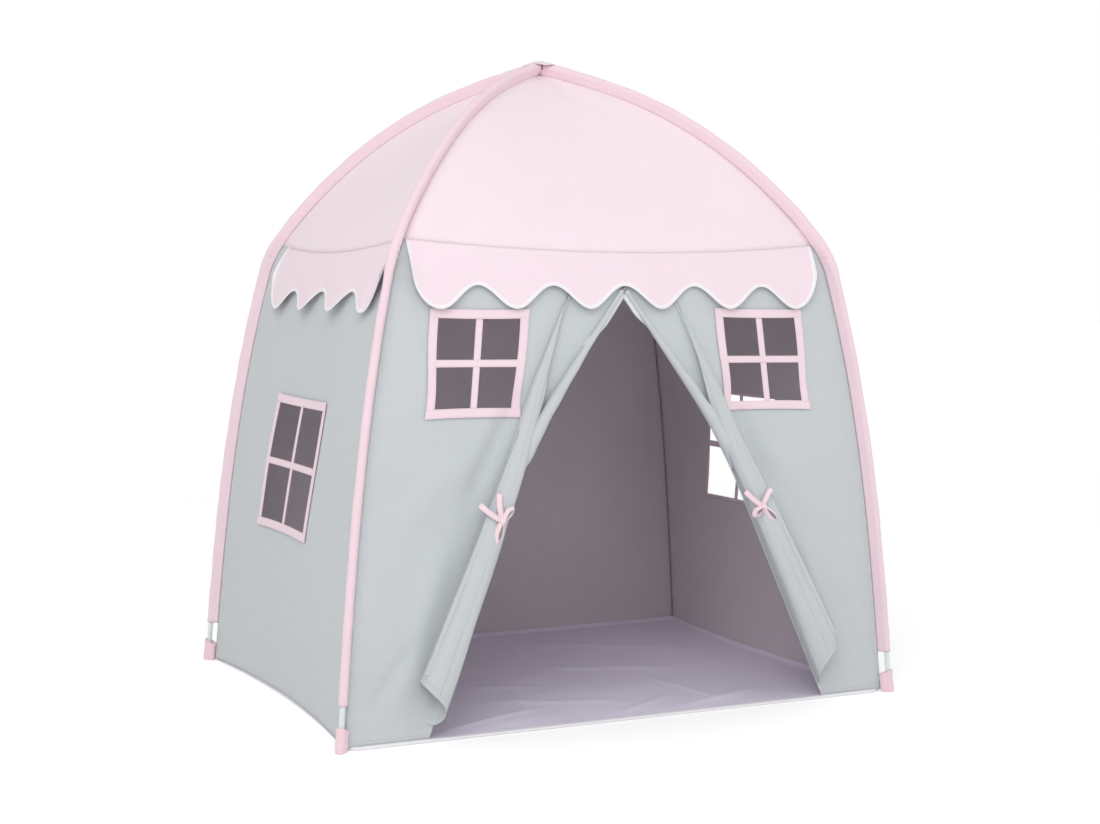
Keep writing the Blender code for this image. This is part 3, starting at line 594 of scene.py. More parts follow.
def floorLook():
    # the floor glows a little for the camera alone, more with distance, so that it ends up as white as the world
    f = Finish("studio floor")
    base = colour(ground["grey"], ground["grey"], ground["grey"])
    f.set(Base_Color=base, Roughness=ground["rough"], Specular_IOR_Level=ground["shine"])
    lit = f.tree.nodes.new("ShaderNodeBsdfPrincipled")
    lit.inputs["Base Color"].default_value = base
    lit.inputs["Roughness"].default_value = ground["rough"]
    lit.inputs["Specular IOR Level"].default_value = ground["shine"]
    reach = f.node("ShaderNodeVectorMath", {"operation": "LENGTH"}, {"Vector": f.place()}, "Value")
    dim = (ground["nearGlow"],) * 3 + (1.0,)
    glow = f.mix(reach.ramp(ground["near"], ground["far"]), dim, (1, 1, 1, 1))
    f.tree.links.new(glow.socket, lit.inputs["Emission Color"])
    lit.inputs["Emission Strength"].default_value = ground["glow"]
    mixed = f.tree.nodes.new("ShaderNodeMixShader")
    seen = f.tree.nodes.new("ShaderNodeLightPath")
    f.tree.links.new(seen.outputs["Is Camera Ray"], mixed.inputs[0])
    f.tree.links.new(f.shader.outputs[0], mixed.inputs[1])
    f.tree.links.new(lit.outputs[0], mixed.inputs[2])
    f.tree.links.new(mixed.outputs[0], f.tree.nodes["Material Output"].inputs["Surface"])
    return f.material


looks = {
    "roof": clothLook("roof cloth", (247, 231, 238), (243, 225, 232), seams=(0.004,)),
    "valance": clothLook("valance cloth", (246, 228, 236), (242, 222, 230)),
    "wall": clothLook("wall cloth", (204, 209, 212), (198, 203, 206), seams=(0.010,)),
    # the walls' inner face is the same grey cloth, painted pinker and lighter: painted light, standing for the light
    # through the pink roof inside the tent
    "wallInsidePaintedLight": clothLook("wall cloth inside painted light", (216, 208, 213), (207, 199, 205), seams=(0.010,)),
    "flap": clothLook("door flap cloth", (204, 209, 212), (197, 202, 205), seams=(0.012, 0.015)),
    "sleeve": clothLook("sleeve cloth", (244, 220, 228), (239, 212, 221)),
    "pocket": clothLook("pocket cloth", (247, 218, 226), (241, 207, 217), seams=(0.05,)),
    "frameTape": clothLook("window tape", (247, 226, 233), (242, 217, 226), thread=0.0007,
                           seams=(0.0075, -0.0075)),
    "muntinTape": clothLook("muntin tape", (247, 226, 233), (242, 217, 226), thread=0.0007,
                            seams=(0.0057, -0.0057)),
    "binding": clothLook("white binding", (250, 248, 250), (242, 240, 243), thread=0.0006, seams=(0.0018,)),
    "matEdge": clothLook("mat binding", (248, 247, 250), (238, 237, 242), thread=0.0006, seams=(0.0035,)),
    "mat": clothLook("mat cloth", (238, 231, 248), (226, 219, 238), sheen=0.1),
    "ribbon": clothLook("ribbon", (251, 228, 234), (247, 217, 225), thread=0.0006, sheen=0.35,
                        seams=(0.0046, -0.0046)),
    "zipTape": clothLook("zip tape", (244, 244, 245), (232, 233, 235), thread=0.0006),
    "teeth": plasticLook("zip teeth", (238, 240, 240), (224, 227, 228)),
    "flapTape": clothLook("flap zip tape", (207, 212, 215), (199, 204, 207), thread=0.0006),
    "flapTeeth": plasticLook("flap zip teeth", (190, 195, 198), (180, 185, 188)),
    "tube": tubeLook(),
    "plastic": plasticLook("hub plastic", (92, 86, 92), (74, 68, 74)),
    "metal": zipMetalLook(),
    "floor": floorLook(),
}
print("materials made")

# Walls

wallWrinkles = {
    "front": [(-0.50, 0.90, -0.42, 0.60, 0.030, 0.0030), (0.50, 0.92, 0.44, 0.62, 0.030, -0.0028),
              (-0.53, 0.02, -0.40, 0.42, 0.028, 0.0060), (0.50, 0.02, 0.42, 0.40, 0.026, 0.0055),
              (0.22, 0.72, 0.38, 0.42, 0.022, -0.0085), (-0.22, 0.72, -0.38, 0.42, 0.022, -0.0085),
              (0.36, 0.56, 0.50, 0.36, 0.030, 0.0035), (-0.36, 0.56, -0.52, 0.40, 0.030, 0.0035),
              (-0.58, 0.06, -0.46, 0.22, 0.016, -0.0040), (0.58, 0.06, 0.50, 0.26, 0.018, -0.0035)],
    "left": [(-0.38, 0.92, -0.14, 0.62, 0.026, 0.0045), (0.36, 0.90, 0.22, 0.62, 0.026, 0.0035),
             (-0.42, 0.06, -0.10, 0.32, 0.032, 0.0045), (0.40, 0.06, 0.16, 0.34, 0.030, 0.0040)],
    "right": [(-0.38, 0.90, -0.20, 0.60, 0.030, 0.0030), (0.36, 0.88, 0.24, 0.62, 0.030, 0.0025),
              (-0.40, 0.10, -0.10, 0.30, 0.040, 0.0025)],
    "back": [(-0.45, 0.90, -0.20, 0.55, 0.035, 0.0030), (0.45, 0.90, 0.25, 0.50, 0.035, 0.0030),
             (-0.30, 0.05, 0.10, 0.35, 0.050, 0.0030)],
}
wallSeeds = {"front": 3, "left": 5, "right": 8, "back": 13}
wallSoft = {
    "footFade": 0.03, "topFade": 0.05, "sideFade": 0.04, "pucker": 0.0011, "puckerLong": 0.047,
    "puckerReach": 0.022, "puckerEase": 0.006, "rippleLong": 0.42, "rippleHigh": 0.0016, "doorwayFade": 0.02,
}


def wallRelief(face, a, z, edge):
    # outward relief: soft ripples, a few creases, and puckers that fade away from the corner seams
    top = seamTop[2] - wall["seamSag"]
    s = wallSoft
    fromEdge = edge - np.abs(a)
    fade = smoothStep(z / s["footFade"]) * smoothStep((top - z) / s["topFade"]) * smoothStep(fromEdge / s["sideFade"])
    wave = np.sin(2 * math.pi * z / s["puckerLong"] + 2.2 * np.sin(z * 19.0))
    pucker = s["pucker"] * wave * np.exp(-fromEdge / s["puckerReach"])
    pucker = pucker * smoothStep(fromEdge / s["puckerEase"])
    soft = ripples(a, z, wallSeeds[face], s["rippleLong"], s["rippleHigh"], (1.2, 0.7))
    return fade * (soft + creases(a, z, wallWrinkles[face])) + pucker


windows = {
    "front_left": {"face": "front", "a": -0.334, "z": 0.738, "width": 0.215, "height": 0.218, "lean": -0.10},
    "front_right": {"face": "front", "a": 0.334, "z": 0.738, "width": 0.215, "height": 0.218, "lean": 0.10},
    "left": {"face": "left", "a": 0.045, "z": 0.500, "width": 0.330, "height": 0.300, "lean": 0.22},
    "right": {"face": "right", "a": 0.045, "z": 0.500, "width": 0.330, "height": 0.300, "lean": 0.22},
}
tapes = {"outer": 0.019, "muntin": 0.015, "lap": 0.013, "thick": 0.0011, "standOff": 0.0016}


def windowRelief(w, a, b):
    # small warps that bow the tapes, as the sewn cloth pulls them
    toSide, toTop = 2 * a / w["width"], 2 * b / w["height"]
    bow = 0.0030 * np.sin(math.pi * b / w["height"] * 1.7 + 0.6) - 0.0030 * (1 - toTop ** 2)
    up = -0.0042 * (1 - toSide ** 2) * toTop + 0.0022 * np.sin(7 * a + 9 * w["a"])
    return bow * toSide, up


def windowAZ(w, a, b):
    across, up = windowRelief(w, a, b)
    return w["a"] + a + across - b * w["lean"], w["z"] + b + up * 0.6


def cutWindow(piece, w):
    # four planes along the hole's sides split the cloth, and what lies between them goes
    half, rise = w["width"] / 2 - tapes["lap"], w["height"] / 2 - tapes["lap"]
    corner = [windowAZ(w, np.array(a), np.array(b)) for a, b in
              ((-half, -rise), (half, -rise), (half, rise), (-half, rise))]
    flat = w["face"] == "front"
    form = bmesh.new()
    form.from_mesh(piece.data)

    def spot(vert):
        return (vert.co.x, vert.co.z) if flat else (vert.co.y, vert.co.z)

    def inside(a, z, spare):
        signs = []
        for k in range(4):
            (a0, z0), (a1, z1) = corner[k], corner[(k + 1) % 4]
            length = math.hypot(a1 - a0, z1 - z0)
            signs.append(((a1 - a0) * (z - z0) - (z1 - z0) * (a - a0)) / length)
        return min(signs) > -spare

    for k in range(4):
        (a0, z0), (a1, z1) = corner[k], corner[(k + 1) % 4]
        near = [f for f in form.faces if inside(*np.mean([spot(v) for v in f.verts], 0), 0.012)]
        geometry = list({g for f in near for g in (f, *f.edges, *f.verts)})
        origin = (a0, 0, z0) if flat else (0, a0, z0)
        normal = (z1 - z0, 0, -(a1 - a0)) if flat else (0, z1 - z0, -(a1 - a0))
        bmesh.ops.bisect_plane(form, geom=geometry, plane_co=origin, plane_no=normal, dist=1e-6)
    gone = [f for f in form.faces if inside(*np.mean([spot(v) for v in f.verts], 0), -1e-6)]
    bmesh.ops.delete(form, geom=gone, context="FACES")
    form.to_mesh(piece.data)
    form.free()
    return 4 * half * rise


def wallPoints(face, columns=150, rows=120):
    lift = {"back": wall["backHemLift"], "left": wall["sideHemLift"], "right": wall["sideHemLift"]}[face]
    u, v = np.meshgrid(np.linspace(-1, 1, columns), np.linspace(0, 1, rows))
    low = wall["hem"] + lift * (1 - u ** 2)
    z = low + (seamTop[2] - wall["topGap"] - wall["seamSag"] * (1 - u ** 2) - low) * v
    edgeX, edgeY = seamXY(z)
    edge = (edgeX if face == "back" else edgeY) - wall["edgeGap"]
    a = u * edge
    return facePoint(face, a, z, wallRelief(face, a, z, edge))


def frontHalf(side, columns=90, rows=150):
    s, v = np.meshgrid(np.linspace(0, 1, columns) ** 1.15, np.linspace(0, 1, rows))
    z = wall["hem"] + (seamTop[2] - wall["topGap"] - wall["seamSag"] * (1 - s ** 2) - wall["hem"]) * v
    edge = seamXY(z)[0] - wall["edgeGap"]
    start = doorwayEdge(side, z)
    a = side * (start + (edge - start) * s)
    quiet = smoothStep((np.abs(a) - start) / wallSoft["doorwayFade"])
    return facePoint("front", a, z, wallRelief("front", a, z, edge) * quiet)


def makeWalls():
    for face in ("back", "left", "right"):
        points = wallPoints(face)
        piece = sheetPiece("wall_%s_cloth" % face, points, looks["wall"], None, flip=face in ("back", "left"))
        gone = cutWindow(piece, windows[face]) if face in windows else 0.0
        # the inner face takes the wall cloth with the tent's inside light painted in
        thicken(piece, wall["thick"], looks["wallInsidePaintedLight"])
        place(piece, "tent", "grey_cloth", "wall_" + face)
        declareSheet(points, area=gridArea(points) - gone)
    halves = [frontHalf(-1)[:, ::-1], frontHalf(1)]
    points = np.concatenate(halves, 1)
    rows, cols = points.shape[:2]
    uv = np.stack([points[..., 0], runLengths(points)[1]], -1)
    # no faces between the halves, where the doorway is
    faces = gridFaces(rows, cols).reshape(rows - 1, cols - 1, 4)
    faces = np.delete(faces, halves[0].shape[1] - 1, axis=1).reshape(-1, 4)
    piece = newMesh("wall_front_cloth", points.reshape(-1, 3), faces, uv.reshape(-1, 2))
    piece.data.materials.append(looks["wall"])
    form = bmesh.new()
    form.from_mesh(piece.data)
    bmesh.ops.remove_doubles(form, verts=form.verts, dist=1e-6)
    form.to_mesh(piece.data)
    form.free()
    gone = cutWindow(piece, windows["front_left"]) + cutWindow(piece, windows["front_right"])
    thicken(piece, wall["thick"], looks["wallInsidePaintedLight"])
    place(piece, "tent", "grey_cloth", "wall_front")
    return piece, halves, gone


frontWall, frontHalves, frontGone = makeWalls()
print("walls made")

# Roof

roof = {
    "sag": 0.016, "topGap": 0.010, "seamGap": 0.0006, "footBlend": 0.3, "footOut": 0.0008, "footDown": 0.0026,
    "rippleLong": 0.30, "rippleHigh": 0.0012, "pull": 0.0012,
}


def roofPoints(face, columns=72, rows=56):
    # edge: beside the tip of the sleeve's tail; between them the cloth sags by a parabola across and a sine up
    axis = 1 if face in ("front", "back") else -1
    sign = -1 if face in ("front", "left") else 1
    tTop = float(upRib(ribRun[-1] - roof["topGap"]))
    u, v = np.meshgrid(np.linspace(-1, 1, columns), np.linspace(0, 1, rows))
    t = tSeam + (tTop - tSeam) * v
    centre, _, out, beside = poleFrame(t)
    corner = centre - out * (sleeve["tail"] - roof["seamGap"]) + beside * roof["seamGap"] * axis
    sag = roof["sag"] * np.sin(math.pi * v) * (1 - u ** 2)
    z = corner[..., 2] - wall["seamSag"] * (1 - u ** 2) * (1 - v) - sag
    wide, deep = (0, 1) if axis > 0 else (1, 0)
    points = np.zeros(u.shape + (3,))
    points[..., wide] = u * corner[..., wide]
    points[..., deep] = sign * (corner[..., deep] - sag)
    points[..., 2] = z
    edge = seamXY(points[0, :, 2])[wide]
    foot = facePoint(face, np.clip(points[0, :, wide], -edge, edge), points[0, :, 2])
    points += (foot - points[0])[None] * (1 - smoothStep(v / roof["footBlend"]))[..., None]
    points[..., deep] += sign * roof["footOut"] * (1 - smoothStep(v / 0.08))
    inward = 1 - np.abs(u)
    points[..., 2] -= roof["footDown"] * (1 - smoothStep(v / 0.05)) * smoothStep(inward / 0.03)
    quiet = (smoothStep(inward / 0.1) * smoothStep(v / 0.05) * smoothStep((1 - v) / 0.1))[..., None]
    relief = ripples(u * 0.5, v * 0.6, wallSeeds[face] + 40, roof["rippleLong"], roof["rippleHigh"])
    pull = roof["pull"] * np.sin(v * 46 + 3 * np.sin(v * 9)) * np.exp(-inward / 0.06) * smoothStep(inward / 0.03)
    return points + wallsOff(points) * quiet * (relief + pull)[..., None] * (-sign if axis > 0 else sign)


def makeRoof():
    for face in ("front", "back", "left", "right"):
        points = roofPoints(face)
        piece = sheetPiece("roof_%s_cloth" % face, points, looks["roof"], wall["thick"],
                           flip=face in ("back", "left"))
        place(piece, "tent", "pink_cloth", "roof_panel_" + face)
        declareSheet(points)


makeRoof()
print("roof made")

# Valances

valance = {
    "inset": 0.004, "sideInset": 0.045, "corner": 0.36, "cornerRise": 0.085, "lift": 0.0085, "standOff": 0.0014,
    "sewnOff": 0.0002, "endSwing": 0.6, "sideCalm": 0.75, "flutter": 0.0022, "thick": 0.0010,
    "bindWide": 0.0072, "bindHigh": 0.0026, "bindLap": 0.0009,
}
valanceWaves = {
    "front": {"waves": 2.5, "mean": 0.870, "wave": 0.0235, "flare": 0.006},
    "back": {"waves": 2.5, "mean": 0.870, "wave": 0.0235, "flare": 0.018},
    "left": {"waves": 1.5, "mean": 0.858, "wave": 0.0205, "flare": 0.011},
    "right": {"waves": 1.5, "mean": 0.858, "wave": 0.0205, "flare": 0.011},
}


def valanceHalf(face):
    return float(seamTop[0 if face in ("front", "back") else 1]) - wall["sewnHalf"] - valance["inset"]


def valanceHem(face, count=26):
    # the hem from the left edge to the right: a cosine wave with its peak in the middle, and quarter ellipses
    form = valanceWaves[face]
    wave = valanceHalf(face) / (form["waves"] + valance["corner"])
    middle = np.linspace(-form["waves"], form["waves"], int(form["waves"] * 2 * count) + 1)
    turn = np.linspace(0, math.pi / 2, 16)[1:]
    side = wave * (form["waves"] + valance["corner"] * np.sin(turn))
    rise = form["mean"] - form["wave"] + valance["cornerRise"] * (1 - np.cos(turn))
    d = np.concatenate([-side[::-1], middle * wave, side])
    z = np.concatenate([rise[::-1], form["mean"] + form["wave"] * np.cos(2 * math.pi * middle), rise])
    ends = valance["endSwing"] * np.ones(len(side))
    swing = np.concatenate([ends, 0.5 - 0.5 * np.cos(2 * math.pi * middle), ends])
    if face in ("left", "right"):
        # the side ones stop short of the back sleeve, and lie close there
        half = valanceHalf(face)
        swing = swing * (1 - valance["sideCalm"] * smoothStep((d / half - 0.2) / 0.7))
        d = (d + half) * (1 - valance["sideInset"] / (2 * half)) - half
    return d, z, swing


def valancePoint(face, d, z, out=0.0):
    hemD, hemZ, swing = valanceHem(face)
    half = valanceHalf(face)
    top = seamTop[2] - wall["topGap"] - wall["seamSag"] * (1 - np.clip(d / half, -1, 1) ** 2)
    v = np.clip((top - z) / (top - np.interp(d, hemD, hemZ)), -0.1, 1.1)
    flare = valanceWaves[face]["flare"] * np.maximum(v, 0) ** 2 * np.interp(d, hemD, swing)
    flutter = valance["flutter"] * np.sin(d * 23 + 2 * np.sin(d * 7)) * np.maximum(v, 0) ** 1.5
    stand = valance["sewnOff"] + (valance["standOff"] - valance["sewnOff"]) * smoothStep(v / 0.08)
    stand = stand + valance["lift"] * v + flare + flutter
    return facePoint(face, d, z, stand + out)


def makeValances():
    bind = tapeProfile(valance["bindWide"], valance["bindHigh"]) + [valance["bindWide"] / 2 - valance["bindLap"], 0]
    for face in ("front", "back", "left", "right"):
        d, hemZ, _ = valanceHem(face)
        half = valanceHalf(face)
        top = seamTop[2] - wall["topGap"] - wall["seamSag"] * (1 - (d / half) ** 2)
        v = np.linspace(0, 1, 30)[:, None]
        z = top + (hemZ - top) * v
        points = valancePoint(face, np.broadcast_to(d, z.shape), z)
        uv = np.stack([np.broadcast_to(d, z.shape), top[None] - z], -1)
        cloth = sheetPiece("valance_%s_cloth" % face, points, looks["valance"], valance["thick"], uv,
                           flip=face in ("front", "right"))
        sideZ = np.linspace(top[0] - 0.001, hemZ[0], 14)[:-1]
        pathD = np.concatenate([np.full(13, d[0]), d, np.full(13, d[-1])])
        pathZ = np.concatenate([sideZ, hemZ, sideZ[::-1]])
        step = np.stack([np.gradient(pathD), np.gradient(pathZ)], 1)
        step /= np.linalg.norm(step, axis=1, keepdims=True)
        for _ in range(2):
            step[1:-1] = (step[:-2] + 2 * step[1:-1] + step[2:]) / 4
        alongD = pathD[:, None] - step[:, 1:] * bind[None, :, 0]
        alongZ = pathZ[:, None] + step[:, :1] * bind[None, :, 0]
        rings = valancePoint(face, alongD, alongZ, np.broadcast_to(bind[None, :, 1], alongD.shape))
        run = np.concatenate([[0], np.cumsum(np.hypot(np.diff(pathD), np.diff(pathZ)))])
        uv = pairs(run[:, None], bind[None, :, 0])
        binding = tubePiece("valance_%s_binding" % face, rings, uv, looks["binding"])
        place(cloth, "tent", "pink_cloth", "valance_" + face)
        place(binding, "tent", "ribbon")
        declareSheet(points)


makeValances()
print("valances made")

# Sleeves, foot pockets and the tubes that show below the sleeves


def sleeveProfile(radius):
    # a teardrop: an arc round the pole and two tangents that meet at the tail's tip
    tail = sleeve["tail"]
    meet = math.pi - math.acos(radius / tail)
    turn = np.linspace(meet, -meet, 27)
    arc = np.stack([radius * np.cos(turn), radius * np.sin(turn)], 1)
    share = np.linspace(0, 1, 6)[:-1, None]
    tip = np.array([[-tail, sleeve["tailGap"]]])
    down = tip * (1 - share) + arc[:1] * share
    return np.concatenate([down, arc, (down * [1, -1])[::-1]])


def makeSleeves():
    thin, full = sleeveProfile(sleeve["radius"]), sleeveProfile(sleeve["radius"] + sleeve["overJoint"])
    around = np.linspace(-1, 1, len(thin))
    tEnd = float(upRib(ribRun[-1] - sleeve["hubGap"]))
    t = np.concatenate([np.linspace(upLeg(sleeve["ankle"]), bendFrom, 150), np.linspace(bendFrom, bendTo, 40)[1:],
                        np.linspace(bendTo, tEnd, 110)[1:]])
    centre, _, out, beside = poleFrame(t)
    run = pathRun(centre)
    fromShoulder = run - np.interp(1.0, t, run)
    # fuller over the elbow and at the hub
    joint = np.exp(-(fromShoulder / sleeve["jointReach"]) ** 4) + smoothStep((run - run[-1] + 0.09) / 0.03)
    profile = thin[None] + (full - thin)[None] * joint[:, None, None]
    for number, (where, signs) in enumerate(cornerSigns.items()):
        soft = ripples(run[:, None], around[None] * 0.02, 70 + number, sleeve["rippleLong"], sleeve["rippleHigh"],
                       (1, 1.5))
        bend = np.exp(-(fromShoulder / sleeve["foldReach"]) ** 2)[:, None]
        fold = bend * sleeve["foldHigh"] * np.sin(run[:, None] * 420)
        fold = fold * smoothStep((np.abs(around[None]) - 0.25) / 0.3)
        hug = smoothStep((1 - np.abs(around)) / 0.25)[None]
        swell = 1 + (soft + fold) * hug / sleeve["radius"]
        ring = profile * np.stack([np.where(profile[..., 0] > 0, swell, 1.0), swell], -1)
        points = centre[:, None] + out[:, None] * ring[..., :1] + beside[:, None] * ring[..., 1:]
        points = toCorner(points, signs)
        uv = pairs(around[None] * 0.035, run[:, None])
        piece = sheetPiece("sleeve_%s_cloth" % where, points, looks["sleeve"], sleeve["thick"], uv,
                           flip=signs[0] * signs[1] > 0)
        place(piece, "tent", "pink_cloth", "pole_sleeve_" + where)
        declareSheet(points)


tube = {"foot": 0.0028, "top": 0.4795}


def makeTubes():
    turn = np.linspace(0, 2 * math.pi, 29)[:-1]
    t = np.linspace(upLeg(tube["foot"]), upLeg(tube["top"]), 40)
    centre, _, out, beside = poleFrame(t)
    for where, signs in cornerSigns.items():
        points = centre[:, None] + poleLine["radius"] * (
            out[:, None] * np.cos(turn)[None, :, None] + beside[:, None] * np.sin(turn)[None, :, None])
        points = toCorner(points, signs)
        uv = pairs(turn[None] * poleLine["radius"], centre[:, None, 2])
        piece = tubePiece("leg_tube_" + where, points, uv, looks["tube"])
        place(piece, "tent", "white_tube", "leg_pole_lower_" + where)


pocket = {
    "height": 0.044, "slant": 0.006, "halfLong": 0.0140, "halfWide": 0.0100, "inward": 0.0048,
    "squareness": 0.62, "throat": 0.0060, "throatDown": 0.016,
}


def makePockets():
    # a squarish pouch: superellipse rings that round off at the floor, then turn in over the slanted rim
    turn = np.linspace(0, 2 * math.pi, 41)[:-1]
    boxX = np.sign(np.cos(turn)) * np.abs(np.cos(turn)) ** pocket["squareness"]
    boxY = np.sign(np.sin(turn)) * np.abs(np.sin(turn)) ** pocket["squareness"]
    levels = np.array([0.0, 0.004, 0.02, 0.06, 0.2, 0.4, 0.6, 0.8, 0.86, 0.9, 0.96, 0.995])
    swell = np.array([0.82, 0.93, 0.985, 1.0, 1.03, 1.02, 0.99, 0.98, 1.01, 1.03, 1.03, 1.0])
    for number, (where, signs) in enumerate(cornerSigns.items()):
        rim = pocket["height"] + pocket["slant"] * boxX
        wanted = [(share * (1 + 0.03 * np.sin(3 * turn + number + level * 9)), rim * level)
                  for level, share in zip(levels, swell)]
        wanted += [(share, rim - down) for share, down in ((0.955, 0.0), (0.9, 0.002), (0.72, 0.009))]
        rings = [(pocket["halfLong"] * boxX * size - pocket["inward"], pocket["halfWide"] * boxY * size, z)
                 for size, z in wanted]
        rings.append((pocket["throat"] * np.cos(turn), pocket["throat"] * np.sin(turn), rim - pocket["throatDown"]))
        a, b, z = (np.stack([ring[k] for ring in rings]) for k in range(3))
        centre = spine(upLeg(z))
        points = centre + triple((a - b) / math.sqrt(2), (a + b) / math.sqrt(2), 0.0)
        points[..., 2] = np.maximum(z, 0.0)
        points = toCorner(points, signs)
        uv = pairs(turn[None] * 0.012, z)
        piece = tubePiece("foot_pocket_%s_cloth" % where, points, uv, looks["pocket"], sharp=70)
        place(piece, "tent", "pocket_cloth", "foot_pocket_" + where)


makeSleeves()
makeTubes()
makePockets()
print("sleeves, tubes and pockets made")

# A cap of cloth sewn over the hub, where the four sleeves meet

cap = {"side": 0.031, "squareness": 4.0, "top": 1.3965, "slope": 0.31, "sag": 0.004, "thick": 0.0012, "flat": 0.072}


def makeCap():
    # corners of the square lie over the sleeves; the height falls along a hyperbola and sags between the sleeves
    turn = np.linspace(0, 2 * math.pi, 73)
    power = cap["squareness"]
    edge = cap["side"] / (np.abs(np.cos(turn)) ** power + np.abs(np.sin(turn)) ** power) ** (1 / power)
    share = np.linspace(0.02, 1, 16)[:, None]
    r = share * edge
    z = cap["top"] + 0.002 - cap["slope"] * np.sqrt(r ** 2 + 0.008 ** 2)
    z = z - cap["sag"] * np.cos(2 * turn) ** 2 * share ** 2
    points = triple(r * np.cos(turn), r * np.sin(turn), z)
    uv = pairs(r * np.cos(turn), r * np.sin(turn))
    piece = sheetPiece("hub_cap_cloth", points, looks["roof"], cap["thick"], uv)
    place(piece, "tent", "pink_cloth")
    gridArea(points)


makeCap()
print("hub cap made")

# Window frames


def windowPoint(w, a, b, out):
    across, z = windowAZ(w, a, b)
    edge = seamXY(z)[0 if w["face"] == "front" else 1]
    relief = wallRelief(w["face"], across, z, edge)
    return facePoint(w["face"], across, z, relief + tapes["standOff"] + out)


def makeWindows():
    for name, w in windows.items():
        half, rise = w["width"] / 2, w["height"] / 2
        wide = tapeProfile(tapes["outer"], tapes["thick"])
        thin = tapeProfile(tapes["muntin"], tapes["thick"])
        strips = []
        for number, (kind, at, profile, look, lift) in enumerate((
                ("up", 0.0, thin, "muntinTape", 0.0), ("along", 0.0, thin, "muntinTape", 0.0010),
                ("up", -half + tapes["outer"] / 2, wide, "frameTape", 0.0014),
                ("up", half - tapes["outer"] / 2, wide, "frameTape", 0.0014),
                ("along", -rise + tapes["outer"] / 2, wide, "frameTape", 0.0024),
                ("along", rise - tapes["outer"] / 2, wide, "frameTape", 0.0024))):
            reach = (rise if kind == "up" else half) - (0.004 if number < 2 else 0.0)
            s = np.linspace(-reach, reach, 48)[:, None]
            side = profile[None, :, 0] + at
            a, b = (side, s) if kind == "up" else (s, side)
            a, b = np.broadcast_arrays(a, b)
            rings = windowPoint(w, a, b, profile[None, :, 1] + lift)
            uv = pairs(s, profile[None, :, 0])
            strips.append(tubePiece("strip", rings, uv, looks[look]))
        muntins = joinPieces("window_%s_muntins" % name, strips[:2])
        frameTapes = joinPieces("window_%s_tapes" % name, strips[2:])
        place(frameTapes, "tent", "pink_cloth", "window_frame_" + name)
        place(muntins, "tent", "pink_cloth")


makeWindows()
print("windows made")

# Floor mat

mat = {
    "inset": 0.003, "rim": 0.008, "rimWide": 0.012, "lip": 0.009, "cornerCut": 0.006, "top": 0.0040, "bottom": 0.0004,
    "rippleLong": 0.16, "rippleHigh": 0.0011, "bindWide": 0.0125, "bindHigh": 0.0058, "bindOut": 0.0042,
    "bindLower": 0.42,
}
matCreases = [(-0.45, -0.44, -0.10, -0.30, 0.012, 0.0040), (-0.30, -0.20, 0.10, -0.36, 0.018, 0.0035),
              (-0.05, -0.46, 0.20, -0.30, 0.012, 0.0030), (0.10, -0.44, 0.42, -0.34, 0.014, 0.0035),
              (-0.35, -0.05, 0.00, -0.15, 0.020, 0.0040), (0.00, 0.05, 0.35, -0.10, 0.020, 0.0040),
              (-0.20, -0.40, -0.12, -0.10, 0.010, 0.0025), (0.26, -0.45, 0.20, -0.12, 0.012, 0.0030),
              (-0.45, 0.10, -0.10, 0.20, 0.022, 0.0035), (0.10, 0.30, 0.45, 0.12, 0.022, 0.0035)]


def matOutline(a, b):
    # the walls draw the sides in between the feet, and the front edge lies a little outside the front wall
    cornerX, cornerY = (float(c) for c in seamXY(0.0))
    halfX = cornerX - mat["inset"] - wall["sideBow"] * (1 - b ** 2)
    near = 1 - smoothStep((1 - np.abs(a)) * halfX / (4 * mat["cornerCut"]))
    front = cornerY + mat["lip"] - (mat["lip"] + mat["cornerCut"]) * near
    back = cornerY - mat["inset"] - wall["backBow"] * (1 - a ** 2)
    return a * halfX, b * np.where(b < 0, front, back)


